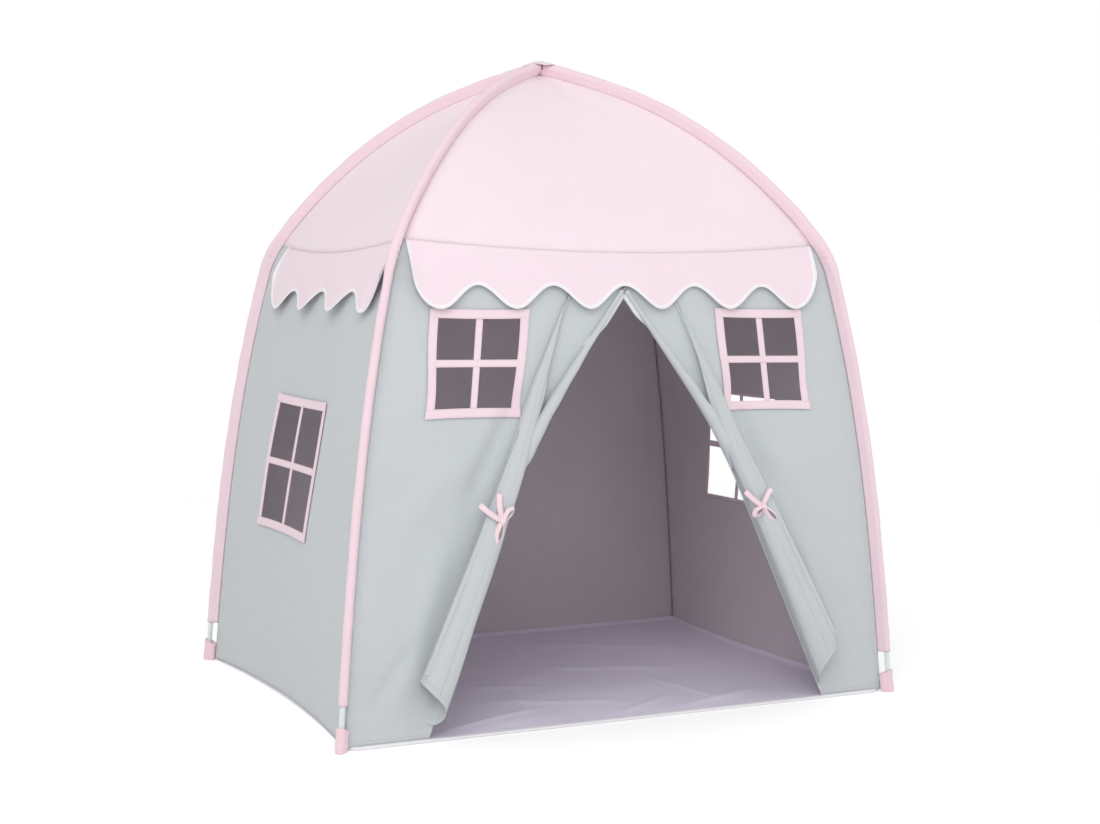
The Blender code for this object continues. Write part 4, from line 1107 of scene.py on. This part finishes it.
def makeMat():
    a, b = np.meshgrid(np.linspace(-1, 1, 190), np.linspace(-1, 1, 150))
    x, y = matOutline(a, b)
    edge = np.minimum((1 - np.abs(a)) * 0.6, (1 - np.abs(b)) * 0.45)
    soft = ripples(x, y, 21, mat["rippleLong"], mat["rippleHigh"])
    relief = np.maximum(creases(x, y, matCreases) + soft + 0.0008, -0.0012)
    # a rim turned up against the side and back walls
    fromWall = np.minimum((1 - np.abs(a)) * np.abs(x).max(), (1 - b) * np.abs(y).max())
    rim = mat["rim"] * (1 - smoothStep(fromWall / mat["rimWide"])) * smoothStep((y - y.min()) / 0.05)
    top = triple(x, y, mat["top"] + relief * smoothStep((edge - 0.010) / 0.06) + rim)
    bottom = triple(x, y, mat["bottom"])
    rows, cols = x.shape
    index = np.arange(rows * cols).reshape(rows, cols)
    ring = np.concatenate([index[0, :-1], index[:-1, -1], index[-1, :0:-1], index[:0:-1, 0]])
    after = np.roll(ring, -1)
    faces = gridFaces(rows, cols)
    low = faces[:, ::-1] + rows * cols
    sides = np.stack([ring, ring + rows * cols, after + rows * cols, after], -1)
    uv = np.concatenate([np.stack([x, y], -1).reshape(-1, 2)] * 2)
    piece = newMesh("floor_mat_cloth", np.concatenate([top.reshape(-1, 3), bottom.reshape(-1, 3)]),
                    np.concatenate([faces, low, sides]), uv)
    piece.data.materials.append(looks["mat"])
    piece.data.set_sharp_from_angle(angle=math.radians(50))
    border = top.reshape(-1, 3)[ring][::2]
    ahead = unitVector(np.roll(border, -1, axis=0) - np.roll(border, 1, axis=0))
    across = np.stack([ahead[:, 1], -ahead[:, 0], np.zeros(len(ahead))], 1)
    centre = border - across * mat["bindOut"]
    # along the walls it stays under the mat's top
    tall = 1 - mat["bindLower"] * smoothStep((border[:, 1] - border[:, 1].min() - 0.006) / 0.02)
    centre[:, 2] = mat["bindHigh"] / 2 * tall + 0.0003
    profile = tapeProfile(mat["bindWide"], mat["bindHigh"])
    binding = carried("floor_mat_binding", centre, across, tall[:, None] * [0.0, 0, 1.0], profile,
                      looks["matEdge"], closedPath=True)
    place(piece, "tent", "mat_cloth", "floor_mat")
    place(binding, "tent", "mat_cloth")
    declareSheet(top)


makeMat()
print("mat made")

# Door flaps: each is a cone, as all its fold lines meet in one point above the doorway. A closed flap is flat; the
# rolled one follows a polygon of directions from that point, with its corners rounded.

flap = {
    "round": 0.47, "firstRound": 0.20, "lift": 0.0012, "bowDown": 0.468, "pinch": 0.15, "pinchWide": 0.026,
    "wide": 0.67, "high": 0.68, "wave": 0.04, "coreFrom": 0.33, "coreEase": 0.15, "upperFrom": 0.20,
    "upperEase": 0.20, "topSize": 0.28, "lowSize": 0.85, "topSink": 0.017, "lowSink": 0.003, "hemSink": 0.012,
    "topRise": 0.046, "runOnGap": 0.006, "spareCloth": 0.020, "leastShown": 0.75,
}


def flapOrigin(side):
    return doorPoint(0.0, door["inset"][side] / math.tan(door["rollAngle"][side]), flap["lift"])


def turned(v, axis, angle):
    return v * math.cos(angle) + np.cross(axis, v) * math.sin(angle) + axis * (v @ axis) * (1 - math.cos(angle))


def flapPolygon(side):
    # directions of the fold lines, and the direction each strip runs in from its first fold
    angle = door["rollAngle"][side]
    ray = np.array([side * math.sin(angle), -math.cos(angle), 0.0])
    ahead = np.array([-side * math.cos(angle), -math.sin(angle), 0.0])
    strips = []
    before = ahead
    for share, turn in zip(door["shares"], door["turns"]):
        ahead = turned(ahead, -side * ray, math.radians(turn))
        width = share * angle
        strips.append({"ray": ray, "before": before, "ahead": ahead, "width": width})
        ray, ahead = (ray * math.cos(width) + ahead * math.sin(width),
                      ahead * math.cos(width) - ray * math.sin(width))
        before = ahead
    return strips


def flapDirections(side):
    # Samples of the rounded polygon from just before the first fold to the free edge: for each its direction and
    # its angle from the fold line as it would be closed. A corner is a quadratic curve between two points beside it.
    strips = flapPolygon(side)
    rays, betas, cuts = [], [], []
    done = rounded = 0.0

    def straight(strip, start, end, first, second):
        x = np.concatenate([np.linspace(start, strip["width"] / 2, first),
                            np.linspace(strip["width"] / 2, end, second)[1:]])[1:, None]
        rays.append(strip["ray"] * np.cos(x) + strip["ahead"] * np.sin(x))
        betas.append(done - strip["width"] + x[:, 0])
        cuts.append(sum(len(r) for r in rays) - second)

    for k, strip in enumerate(strips):
        if k:
            reach = flap["round"] * min(strips[k - 1]["width"], strip["width"])
            straight(strips[k - 1], rounded, strips[k - 1]["width"] - reach, 5, 5)
        else:
            reach = flap["firstRound"] * strip["width"]
        first = strip["ray"] * math.cos(reach) - strip["before"] * math.sin(reach)
        end = strip["ray"] * math.cos(reach) + strip["ahead"] * math.sin(reach)
        q = np.linspace(0, 1, 15)[1 if k else 0:, None]
        rays.append(unitVector((1 - q) ** 2 * first + 2 * q * (1 - q) * strip["ray"] + q ** 2 * end))
        betas.append(done + (2 * q[:, 0] - 1) * reach)
        rounded = reach
        done += strip["width"]
    straight(strips[-1], rounded, strips[-1]["width"] - door["zipGap"] / 0.7, 5, 6)
    return np.concatenate(rays), np.concatenate(betas), cuts, strips


def flapSpan(side, beta):
    # distances from the origin between which the cloth lies at each angle
    angle = door["rollAngle"][side]
    rise = door["inset"][side] / math.tan(angle)
    alpha = angle - beta
    steep = math.tan(door["steep"])
    low = np.maximum(rise * steep / (np.cos(alpha) * steep - np.sin(alpha)),
                     (rise + door["stripTop"]) / np.cos(alpha))
    low = np.where(beta < 0, rise * steep / (math.cos(angle) * steep - math.sin(angle)), low)
    return low + 0.002, (rise + hemDown) / np.cos(np.minimum(alpha, angle))


def bowReach(side):
    angle = door["rollAngle"][side]
    return (door["inset"][side] / math.tan(angle) + flap["bowDown"]) / math.cos(angle)


def flapSurface(side, rows=190):
    # The roll keeps a share of its plain width and height beside the fold line, and the ribbon pinches it round its
    # core. Above the bend of the doorway's edge it is drawn in towards its innermost edge, and reaches up under the
    # valance.
    rays, beta, cuts, strips = flapDirections(side)
    low, high = flapSpan(side, beta)
    rho = low + (high - low) * np.linspace(0, 1, rows)[:, None]
    angle = door["rollAngle"][side]
    down = rho * math.cos(angle) - door["inset"][side] / math.tan(angle)
    held = bowReach(side)
    ray = strips[0]["ray"]
    aside = np.array([-ray[1] * side, ray[0] * side, 0.0])
    along, beside, over = rays @ ray, rays @ aside, rays[:, 2]
    upper = 1 - smoothStep((down - flap["upperFrom"]) / flap["upperEase"])
    size = flap["topSize"] + (flap["lowSize"] - flap["topSize"]) * smoothStep((down - 0.08) / 0.30)
    core = smoothStep((beta / beta[-1] - flap["coreFrom"]) / flap["coreEase"])[None]
    pinch = flap["pinch"] * (1 - core) * np.exp(-((rho - held) / flap["pinchWide"]) ** 2)
    girth = 1 - pinch + flap["wave"] * np.sin(rho * 19 + side) * smoothStep((rho - held) / 0.1)
    wide = flap["wide"] * beside * girth
    tall = flap["high"] * over * girth
    drawnWide = beside[-1] + (beside - beside[-1]) * size
    drawnHigh = over[-1] + (over - over[-1]) * size
    sink = flap["topSink"] * upper + flap["lowSink"] * (1 - upper) + flap["hemSink"] * smoothStep((down - 0.55) / 0.3)
    inRoll = smoothStep(beta / (door["shares"][0] * angle * 0.9))[None]
    newWide = beside + ((wide * (1 - upper) + drawnWide * upper) - beside) * inRoll
    newHigh = over + ((tall * (1 - upper) + drawnHigh * upper) - over) * inRoll - sink / rho * inRoll
    lifted = rho - flap["topRise"] * (1 - smoothStep((down - door["stripTop"]) / 0.27))
    points = lifted[..., None] * ray * along[None, :, None] + rho[..., None] * (
        newWide[..., None] * aside + newHigh[..., None] * np.array([0, 0, 1.0]))
    normal = unitVector(np.cross(np.gradient(rays, axis=0), rays)) * -side
    # soft creases: ridges along the rulings that come and go, and slanting ones where the ribbon gathers the cloth
    soft = ripples(beta[None] * 0.9, rho * 0.25, 31 + side, 0.060, 0.0008, (1, 1), 10)
    gather = 0.0010 * np.sin(beta[None] * 110 + rho * 10) * np.exp(-np.abs(rho - held) / 0.06)
    quiet = smoothStep((beta + 0.004) / 0.03)[None] * smoothStep((beta[-1] - beta) / 0.02)[None]
    points = points + normal[None] * ((soft + gather) * quiet * smoothStep(down / 0.4))[..., None]
    uv = np.stack([rho * np.sin(beta), high[None] * np.ones_like(rho) - rho], -1)
    # where the two flaps meet; the cloth of the free edge runs on nearly to there
    meets = points[:, -1] + aside * (rho[:, -1] * (beside[-1] - newWide[:, -1]))[:, None]
    gap = meets - points[:, -1]
    reach = np.linalg.norm(gap, axis=1, keepdims=True)
    runOn = gap * np.maximum(1 - flap["runOnGap"] / np.maximum(reach, 1e-6), 0)
    steps = np.linspace(0, 1, 6)[1:]
    points = np.concatenate([points, points[:, -1:] + runOn[:, None] * steps[None, :, None]], 1)
    far = np.linalg.norm(runOn, axis=1)[:, None] * steps
    uv = np.concatenate([uv, uv[:, -1:] + np.stack([far, far * 0], -1)], 1)
    origin = flapOrigin(side)
    return {"points": points @ doorTurn.T + origin, "meets": meets @ doorTurn.T + origin, "beta": beta, "rho": rho,
            "cuts": cuts, "uv": uv, "strips": strips}


bendSearch = {"turns": 181, "leans": 61, "mostLean": 0.15, "leastRoom": 0.002}


def foldBlend(surface, k):
    # Start and end lie on a line across fold k, and the planes through them square to that line part the two cuts
    # beside it. Of the directions square to the fold, or leaning a little along it, the one with the most room wins.
    points = surface["points"]
    before = points[:, 0 if k == 0 else surface["cuts"][k - 1]]
    after = points[:, surface["cuts"][k]]
    ray = surface["strips"][k]["ray"] @ doorTurn.T
    first = unitVector(np.mean(after - before, 0) - ray * (np.mean(after - before, 0) @ ray))
    second = np.cross(ray, first)
    turn, lean = (g.reshape(-1, 1) for g in np.meshgrid(
        np.linspace(-math.pi / 2, math.pi / 2, bendSearch["turns"]),
        np.linspace(-bendSearch["mostLean"], bendSearch["mostLean"], bendSearch["leans"])))
    ways = unitVector(first * np.cos(turn) + second * np.sin(turn) + ray * lean)
    starts, ends = (before @ ways.T).max(0), (after @ ways.T).min(0)
    best = int(np.argmax(ends - starts))
    across, start, end = ways[best], starts[best], ends[best]
    if end - start < bendSearch["leastRoom"]:
        print("fold", k, "has little room for its bend:", round(float(end - start), 4))
        middle = (start + end) / 2
        start, end = middle - bendSearch["leastRoom"] / 2, middle + bendSearch["leastRoom"] / 2
    base = points[0, 0] - across * (points[0, 0] @ across)
    return base + across * start, base + across * end


def blendFold(piece, surface, k):
    start, end = foldBlend(surface, k)
    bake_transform(piece)


def makeFlap(side):
    word = sideWord[side]
    surface = flapSurface(side)
    bounds = [0, *surface["cuts"], surface["points"].shape[1] - 1]
    nodes = ["door_%s_strip_%d" % (word, k) for k in range(1, 7)]
    for k in range(7):
        span = slice(bounds[k], bounds[k + 1] + 1)
        points = surface["points"][:, span]
        piece = sheetPiece("door_%s_cloth_%d" % (word, k), points, looks["flap"], door["thick"],
                           surface["uv"][:, span], flip=side > 0)
        if k < 6:
            blendFold(piece, surface, k)
        else:
            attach(piece, "door_%s_6" % word)
        if k > 0:
            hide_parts(nodes[k - 1])
        rho, beta = surface["rho"][:, span], surface["beta"][span]
        flat = (float(rho[-1].max() * (beta[-1] - beta[0])), float((rho[-1] - rho[0]).max()))
        if k == 6:
            flat = (flat[0] + flap["spareCloth"], flat[1])
        # the cut is a sector of the cone; the roll is drawn in, so less of it shows
        spans = (rho[-1] ** 2 - rho[0] ** 2) / 2
        sector = float(np.sum((spans[1:] + spans[:-1]) / 2 * np.diff(beta)))
        area = min(sector, gridArea(points) / flap["leastShown"])
        declareSheet(points, area=area)
    makeEdgeZip(side, surface)
    makeBow(side, surface)


edgeZip = {"lap": 0.005, "thick": 0.0026, "ends": 0.004, "step": 0.0032, "toothOut": 0.0006,
           "tooth": (0.0019, 0.0028, 0.0030)}


def makeEdgeZip(side, surface):
    # a tape sewn along the free edge reaches out to where the two flaps meet, and carries moulded teeth
    edge, meets = surface["points"][:, -1], surface["meets"]
    back = unitVector(surface["points"][:, -4] - edge)
    inner = edge + back * edgeZip["lap"]
    across = unitVector(meets - inner)
    ahead = unitVector(np.gradient(edge, axis=0))
    off = unitVector(np.cross(ahead, across))
    reach = np.linalg.norm(meets - inner, axis=1, keepdims=True)
    name = "door_%s_zip" % sideWord[side]
    profile = tapeProfile(1.0, edgeZip["thick"])
    sideways = across[:, None] * (reach[:, None] * (profile[None, :, :1] + 0.5))
    rings = inner[:, None] + sideways + off[:, None] * profile[None, :, 1:]
    run = pathRun(edge)
    uv = pairs(run[:, None], profile[None, :, 0] * 0.012)
    tape = tubePiece(name + "_tape", rings, uv, looks["flapTape"])
    at = np.arange(edgeZip["ends"], run[-1] - edgeZip["ends"], edgeZip["step"])
    spot, wide, outward = (alongPath(at, run, a) for a in (meets, across, off))
    wide, outward = unitVector(wide), unitVector(outward)
    teeth = blocks(name + "_teeth", spot + wide * edgeZip["toothOut"], np.cross(wide, outward), wide, outward,
                   edgeZip["tooth"], looks["flapTeeth"])
    for piece in (tape, teeth):
        place(piece, "door_%s_6" % sideWord[side], "ribbon")


def ribbonPath(points, count):
    # a smooth curve through a few points: Catmull-Rom
    p = np.array(points, float)
    p = np.concatenate([[2 * p[0] - p[1]], p, [2 * p[-1] - p[-2]]])
    t = np.linspace(0, len(points) - 1 - 1e-9, count)
    k = t.astype(int)
    f = (t - k)[:, None]
    a, b, c, d = p[k], p[k + 1], p[k + 2], p[k + 3]
    return 0.5 * (2 * b + (c - a) * f + (2 * a - 5 * b + 4 * c - d) * f ** 2 + (3 * b - a - 3 * c + d) * f ** 3)


bows = {
    -1: {"ends": ((-0.048, 0.034), (-0.006, 0.054)), "loops": ((0.022, 0.024), (-0.014, -0.042))},
    1: {"ends": ((-0.044, 0.033), (0.021, 0.036)), "loops": ((0.030, -0.032), (-0.024, -0.018))},
}
ribbon = {
    "wide": 0.0112, "thick": 0.0013, "knotOut": 0.0035, "endTilt": 0.15, "loopTilt": 0.95, "loopOpen": 0.0062,
    "knotWide": 0.0062, "knotHigh": 0.0068, "knotLean": 24, "bandThick": 0.0011, "bandOut": 0.0014,
}


def makeBow(side, surface):
    word = sideWord[side]
    body = "door_%s_2" % word
    rho = bowReach(side)
    middle = surface["cuts"][1]
    row = int(np.argmin(np.abs(surface["rho"][:, middle] - rho)))
    knot = surface["points"][row, middle]
    knot = knot + doorTurn[:, 2] * ribbon["knotOut"]
    base = np.stack([doorTurn[:, 0], doorTurn[:, 1], doorTurn[:, 2]])
    profile = tapeProfile(ribbon["wide"], ribbon["thick"])
    pieces = []

    def strap(points, tilt):
        # points are (right, up, out) from the knot; tilt turns the ribbon's width out of the door's plane
        path = ribbonPath(points, 52)
        ahead = unitVector(np.gradient(path, axis=0))
        flat = np.cross(ahead, [0, 0, 1.0])
        flat = unitVector(flat * math.cos(tilt) + np.array([0, 0, 1.0]) * math.sin(tilt))
        across = unitVector(flat - ahead * np.sum(ahead * flat, -1, keepdims=True))
        pieces.append(carried("ribbon", knot + path @ base, across @ base, np.cross(ahead, across) @ base, profile,
                              looks["ribbon"]))

    for x, y in bows[side]["ends"]:
        bend = np.array([-y, x]) * 0.07
        strap([(0, 0, 0.001), (x * 0.3 + bend[0], y * 0.35 + bend[1], 0.0045),
               (x * 0.65 + bend[0], y * 0.7 + bend[1], 0.0050), (x, y, 0.0015)], ribbon["endTilt"])
    for x, y in bows[side]["loops"]:
        aside = np.array([-y, x]) / math.hypot(x, y) * ribbon["loopOpen"]
        # share of the loop's length, share of its opening, height over the knot's foot
        strap([(x * reach + aside[0] * spread, y * reach + aside[1] * spread, high) for reach, spread, high in (
            (0, 0.3, 0.003), (0.35, 0.8, 0.0065), (0.72, 1, 0.0070), (1.02, 0, 0.0060), (0.72, -1, 0.0045),
            (0.35, -0.8, 0.004), (0, -0.3, 0.003))], ribbon["loopTilt"])
    turn = np.linspace(0, 2 * math.pi, 19)[:-1]
    level = np.linspace(-1, 1, 9)[1:-1]
    ring = np.sqrt(1 - np.abs(level) ** 2.6) + 0.02
    local = triple(ribbon["knotWide"] * ring[:, None] * np.sign(np.cos(turn)) * np.abs(np.cos(turn)) ** 0.7,
                   ribbon["knotHigh"] * level[:, None],
                   0.0032 + 0.0046 * ring[:, None] * np.sign(np.sin(turn)) * np.abs(np.sin(turn)) ** 0.7)
    lean = math.radians(ribbon["knotLean"] * side)
    local = np.stack([local[..., 0] * math.cos(lean) - local[..., 1] * math.sin(lean),
                      local[..., 0] * math.sin(lean) + local[..., 1] * math.cos(lean), local[..., 2]], -1)
    uv = pairs(turn[None] * 0.006, level[:, None] * 0.007)
    pieces.append(tubePiece("knot", knot + local @ base, uv, looks["ribbon"]))
    bow = joinPieces("tie_bow_%s_ribbon" % word, pieces)
    place(bow, body, "ribbon", "tie_bow_" + word)
    makeBands(side, surface, rho)


def makeBands(side, surface, rho):
    # the ribbon's turns round the roll lie on the outside of the cloth, cut where the cloth is cut
    word = sideWord[side]
    bounds = [0, *surface["cuts"]]
    profile = tapeProfile(ribbon["wide"], ribbon["bandThick"])
    for k in range(3):
        first, last = bounds[k], bounds[k + 1]
        if k == 0:
            first += 5
        columns = np.arange(first, last + 1)
        rows = np.argmin(np.abs(surface["rho"][:, columns] - rho), 0)
        centre = surface["points"][rows, columns]
        along = unitVector(surface["points"][rows + 2, columns] - surface["points"][rows - 2, columns])
        ahead = unitVector(np.gradient(centre, axis=0))
        outward = -unitVector(np.cross(ahead, along)) * (1 if side < 0 else -1)
        piece = carried("tie_band_%s_%d" % (word, k), centre + outward * ribbon["bandOut"], along, outward, profile,
                        looks["ribbon"])
        blendFold(piece, surface, k)


for side in (-1, 1):
    makeFlap(side)
print("flaps made")

# Doorway edge above the rolls, its zip tapes and teeth

edgeRoll = {
    "start": 0.004, "radiusTop": 0.0045, "radiusLow": 0.0150, "turns": 1.35, "past": 0.085, "wave": 0.05,
    "endFrom": 0.84, "endTaper": 0.8, "inward": 0.30, "aside": 0.35, "thick": 0.0008,
}
topZip = {
    "start": 0.006, "length": {-1: 0.150, 1: 0.105}, "wide": 0.0105, "thick": 0.0014, "inward": 0.0045,
    "tuck": 0.010, "out": 0.0012, "ends": 0.003, "step": 0.0032, "toothIn": 0.0052,
    "tooth": (0.0019, 0.0030, 0.0024),
}


def doorwayLine(side, low, high, count):
    z = np.linspace(low, high, count)
    a = side * doorwayEdge(side, z)
    return facePoint("front", a, z)


def makeEdgeRoll(side):
    # cloth rolled once and a bit along the slanting edge, thicker towards its lower end
    slope = math.atan2(seamXY(0.0)[1] - seamXY(door["top"])[1], door["top"])
    kink = door["top"] - kinkDepth(side) * math.cos(slope)
    path = doorwayLine(side, door["top"] - edgeRoll["start"], kink - edgeRoll["past"], 110)
    ahead = unitVector(np.gradient(path, axis=0))
    out = np.broadcast_to(doorTurn[:, 2], path.shape)
    away = unitVector(np.cross(out, ahead)) * side
    share = np.linspace(0, 1, len(path))[:, None]
    radius = edgeRoll["radiusTop"] + (edgeRoll["radiusLow"] - edgeRoll["radiusTop"]) * smoothStep(share * 1.1)
    end = smoothStep((share - edgeRoll["endFrom"]) / 0.16)
    radius = radius * (1 + edgeRoll["wave"] * np.sin(share * 37 + side)) * (1 - edgeRoll["endTaper"] * end)
    turn = np.linspace(-0.5 * math.pi, 2 * math.pi * edgeRoll["turns"], 44)[None]
    whole = 2 * math.pi * edgeRoll["turns"] + 0.5 * math.pi
    spiral = radius * (1 - edgeRoll["inward"] * (turn + 0.5 * math.pi) / whole)
    sideways = away[:, None] * (spiral * np.cos(turn))[..., None]
    outward = out[:, None] * (radius + spiral * np.sin(turn))[..., None]
    points = path[:, None] + sideways + outward + away[:, None] * (radius * edgeRoll["aside"])[..., None]
    piece = sheetPiece("door_%s_edge_roll" % sideWord[side], points, looks["flap"], edgeRoll["thick"],
                       flip=side > 0)
    place(piece, "tent", "grey_cloth")
    declareSheet(points)


def makeTopZip(side):
    # a white tape with a row of teeth down the slanting edge; its lower end tucks under the edge roll
    down = topZip["length"][side] * math.cos(door["steep"])
    path = doorwayLine(side, door["top"] - topZip["start"], door["top"] - down, 70)
    ahead = unitVector(np.gradient(path, axis=0))
    out = np.broadcast_to(doorTurn[:, 2], path.shape)
    inward = -unitVector(np.cross(out, ahead)) * side
    name = "zip_top_%s" % sideWord[side]
    tucked = topZip["tuck"] * smoothStep((np.linspace(0, 1, len(path))[:, None] - 0.45) / 0.55)
    centre = path + inward * (topZip["inward"] - tucked) + out * topZip["out"]
    profile = tapeProfile(topZip["wide"], topZip["thick"])
    tape = carried(name + "_tape", centre, inward, out, profile, looks["zipTape"])
    run = pathRun(path)
    at = np.arange(topZip["ends"], run[-1] - topZip["ends"], topZip["step"])
    spot = alongPath(at, run, centre) + inward[:1] * topZip["toothIn"]
    axes = [np.repeat(way[30:31], len(at), 0) for way in (ahead, inward, out)]
    teeth = blocks(name + "_teeth", spot, *axes, topZip["tooth"], looks["teeth"])
    place(tape, "tent", "ribbon", "zip_tape_top_" + sideWord[side])
    place(teeth, "tent", "ribbon")


for side in (-1, 1):
    makeEdgeRoll(side)
    makeTopZip(side)
declareSheet(np.concatenate(frontHalves, 1),
             area=sum(gridArea(half) for half in frontHalves) - frontGone)
print("doorway edge made")

# Pieces kept from the CAD, with their own finishes

keptLooks = {"top_hub": "plastic", "zip_slider": "metal", "zip_pull": "metal"}
for where in cornerSigns:
    keptLooks["leg_pole_upper_" + where] = "tube"
    keptLooks["shoulder_elbow_" + where] = keptLooks["roof_rod_" + where] = "plastic"
for node, look in keptLooks.items():
    slots = bpy.data.objects[node].data.materials
    slots.clear()
    slots.append(looks[look])
print("kept pieces finished")

# Stage, lights and camera

studio = {"floorSize": 60.0, "world": 0.655, "aim": (0, 0, 0.6)}
lights = {
    "key": {"power": 97.0, "size": 3.2, "at": (-2.6, -3.6, 3.6)},
    "fill": {"power": 20.0, "size": 3.0, "at": (3.6, -2.4, 2.2)},
}


def makeStage():
    bpy.ops.mesh.primitive_plane_add(size=studio["floorSize"], location=(0, 0, 0))
    floor = bpy.context.object
    floor.name = "studio_floor"
    floor.data.materials.append(looks["floor"])
    for name, light in lights.items():
        lamp = bpy.data.lights.new(name, "AREA")
        lamp.energy, lamp.size = light["power"], light["size"]
        made = bpy.data.objects.new(name, lamp)
        bpy.context.scene.collection.objects.link(made)
        made.location = light["at"]
        made.rotation_euler = (Vector(studio["aim"]) - Vector(light["at"])).to_track_quat("-Z", "Y").to_euler()
    world = bpy.data.worlds.new("studio")
    bpy.context.scene.world = world
    world.use_nodes = True
    tree = world.node_tree
    tree.nodes.clear()
    # full white where the camera, a mirror or a clear piece looks at the world, a softer light elsewhere
    path = tree.nodes.new("ShaderNodeLightPath")
    seen, more = (tree.nodes.new("ShaderNodeMath") for _ in range(2))
    seen.operation = more.operation = "MAXIMUM"
    soft, white = (tree.nodes.new("ShaderNodeBackground") for _ in range(2))
    for node, strength in ((soft, studio["world"]), (white, 1.0)):
        node.inputs[0].default_value, node.inputs[1].default_value = (1, 1, 1, 1), strength
    mixed, output = tree.nodes.new("ShaderNodeMixShader"), tree.nodes.new("ShaderNodeOutputWorld")
    tree.links.new(path.outputs["Is Camera Ray"], seen.inputs[0])
    tree.links.new(path.outputs["Is Glossy Ray"], seen.inputs[1])
    tree.links.new(seen.outputs[0], more.inputs[0])
    tree.links.new(path.outputs["Is Transmission Ray"], more.inputs[1])
    tree.links.new(more.outputs[0], mixed.inputs[0])
    tree.links.new(soft.outputs[0], mixed.inputs[1])
    tree.links.new(white.outputs[0], mixed.inputs[2])
    tree.links.new(mixed.outputs[0], output.inputs[0])


camera = {
    "at": (-1.745, -3.677, 0.888), "yaw": 25.79, "pitch": 3.966, "roll": 0.317, "focal": 1791.14, "pixels": 1100,
    "sensor": 36.0,
}


def makeCamera():
    yaw, pitch, roll = (math.radians(camera[k]) for k in ("yaw", "pitch", "roll"))
    ahead = np.array([math.sin(yaw) * math.cos(pitch), math.cos(yaw) * math.cos(pitch), -math.sin(pitch)])
    level = np.array([math.cos(yaw), -math.sin(yaw), 0.0])
    over = np.cross(level, ahead)
    right = level * math.cos(roll) + over * math.sin(roll)
    up = np.cross(right, ahead)
    made = bpy.data.objects.new("photo_camera", bpy.data.cameras.new("photo_camera"))
    made.data.sensor_width = camera["sensor"]
    made.data.lens = camera["focal"] * camera["sensor"] / camera["pixels"]
    turn = Matrix([list(row) for row in np.stack([right, up, -ahead], 1)])
    made.matrix_world = Matrix.Translation(camera["at"]) @ turn.to_4x4()
    bpy.context.scene.collection.objects.link(made)
    bpy.context.scene.camera = made


makeStage()
makeCamera()
bpy.context.scene.view_settings.view_transform = "Standard"
print("stage made")
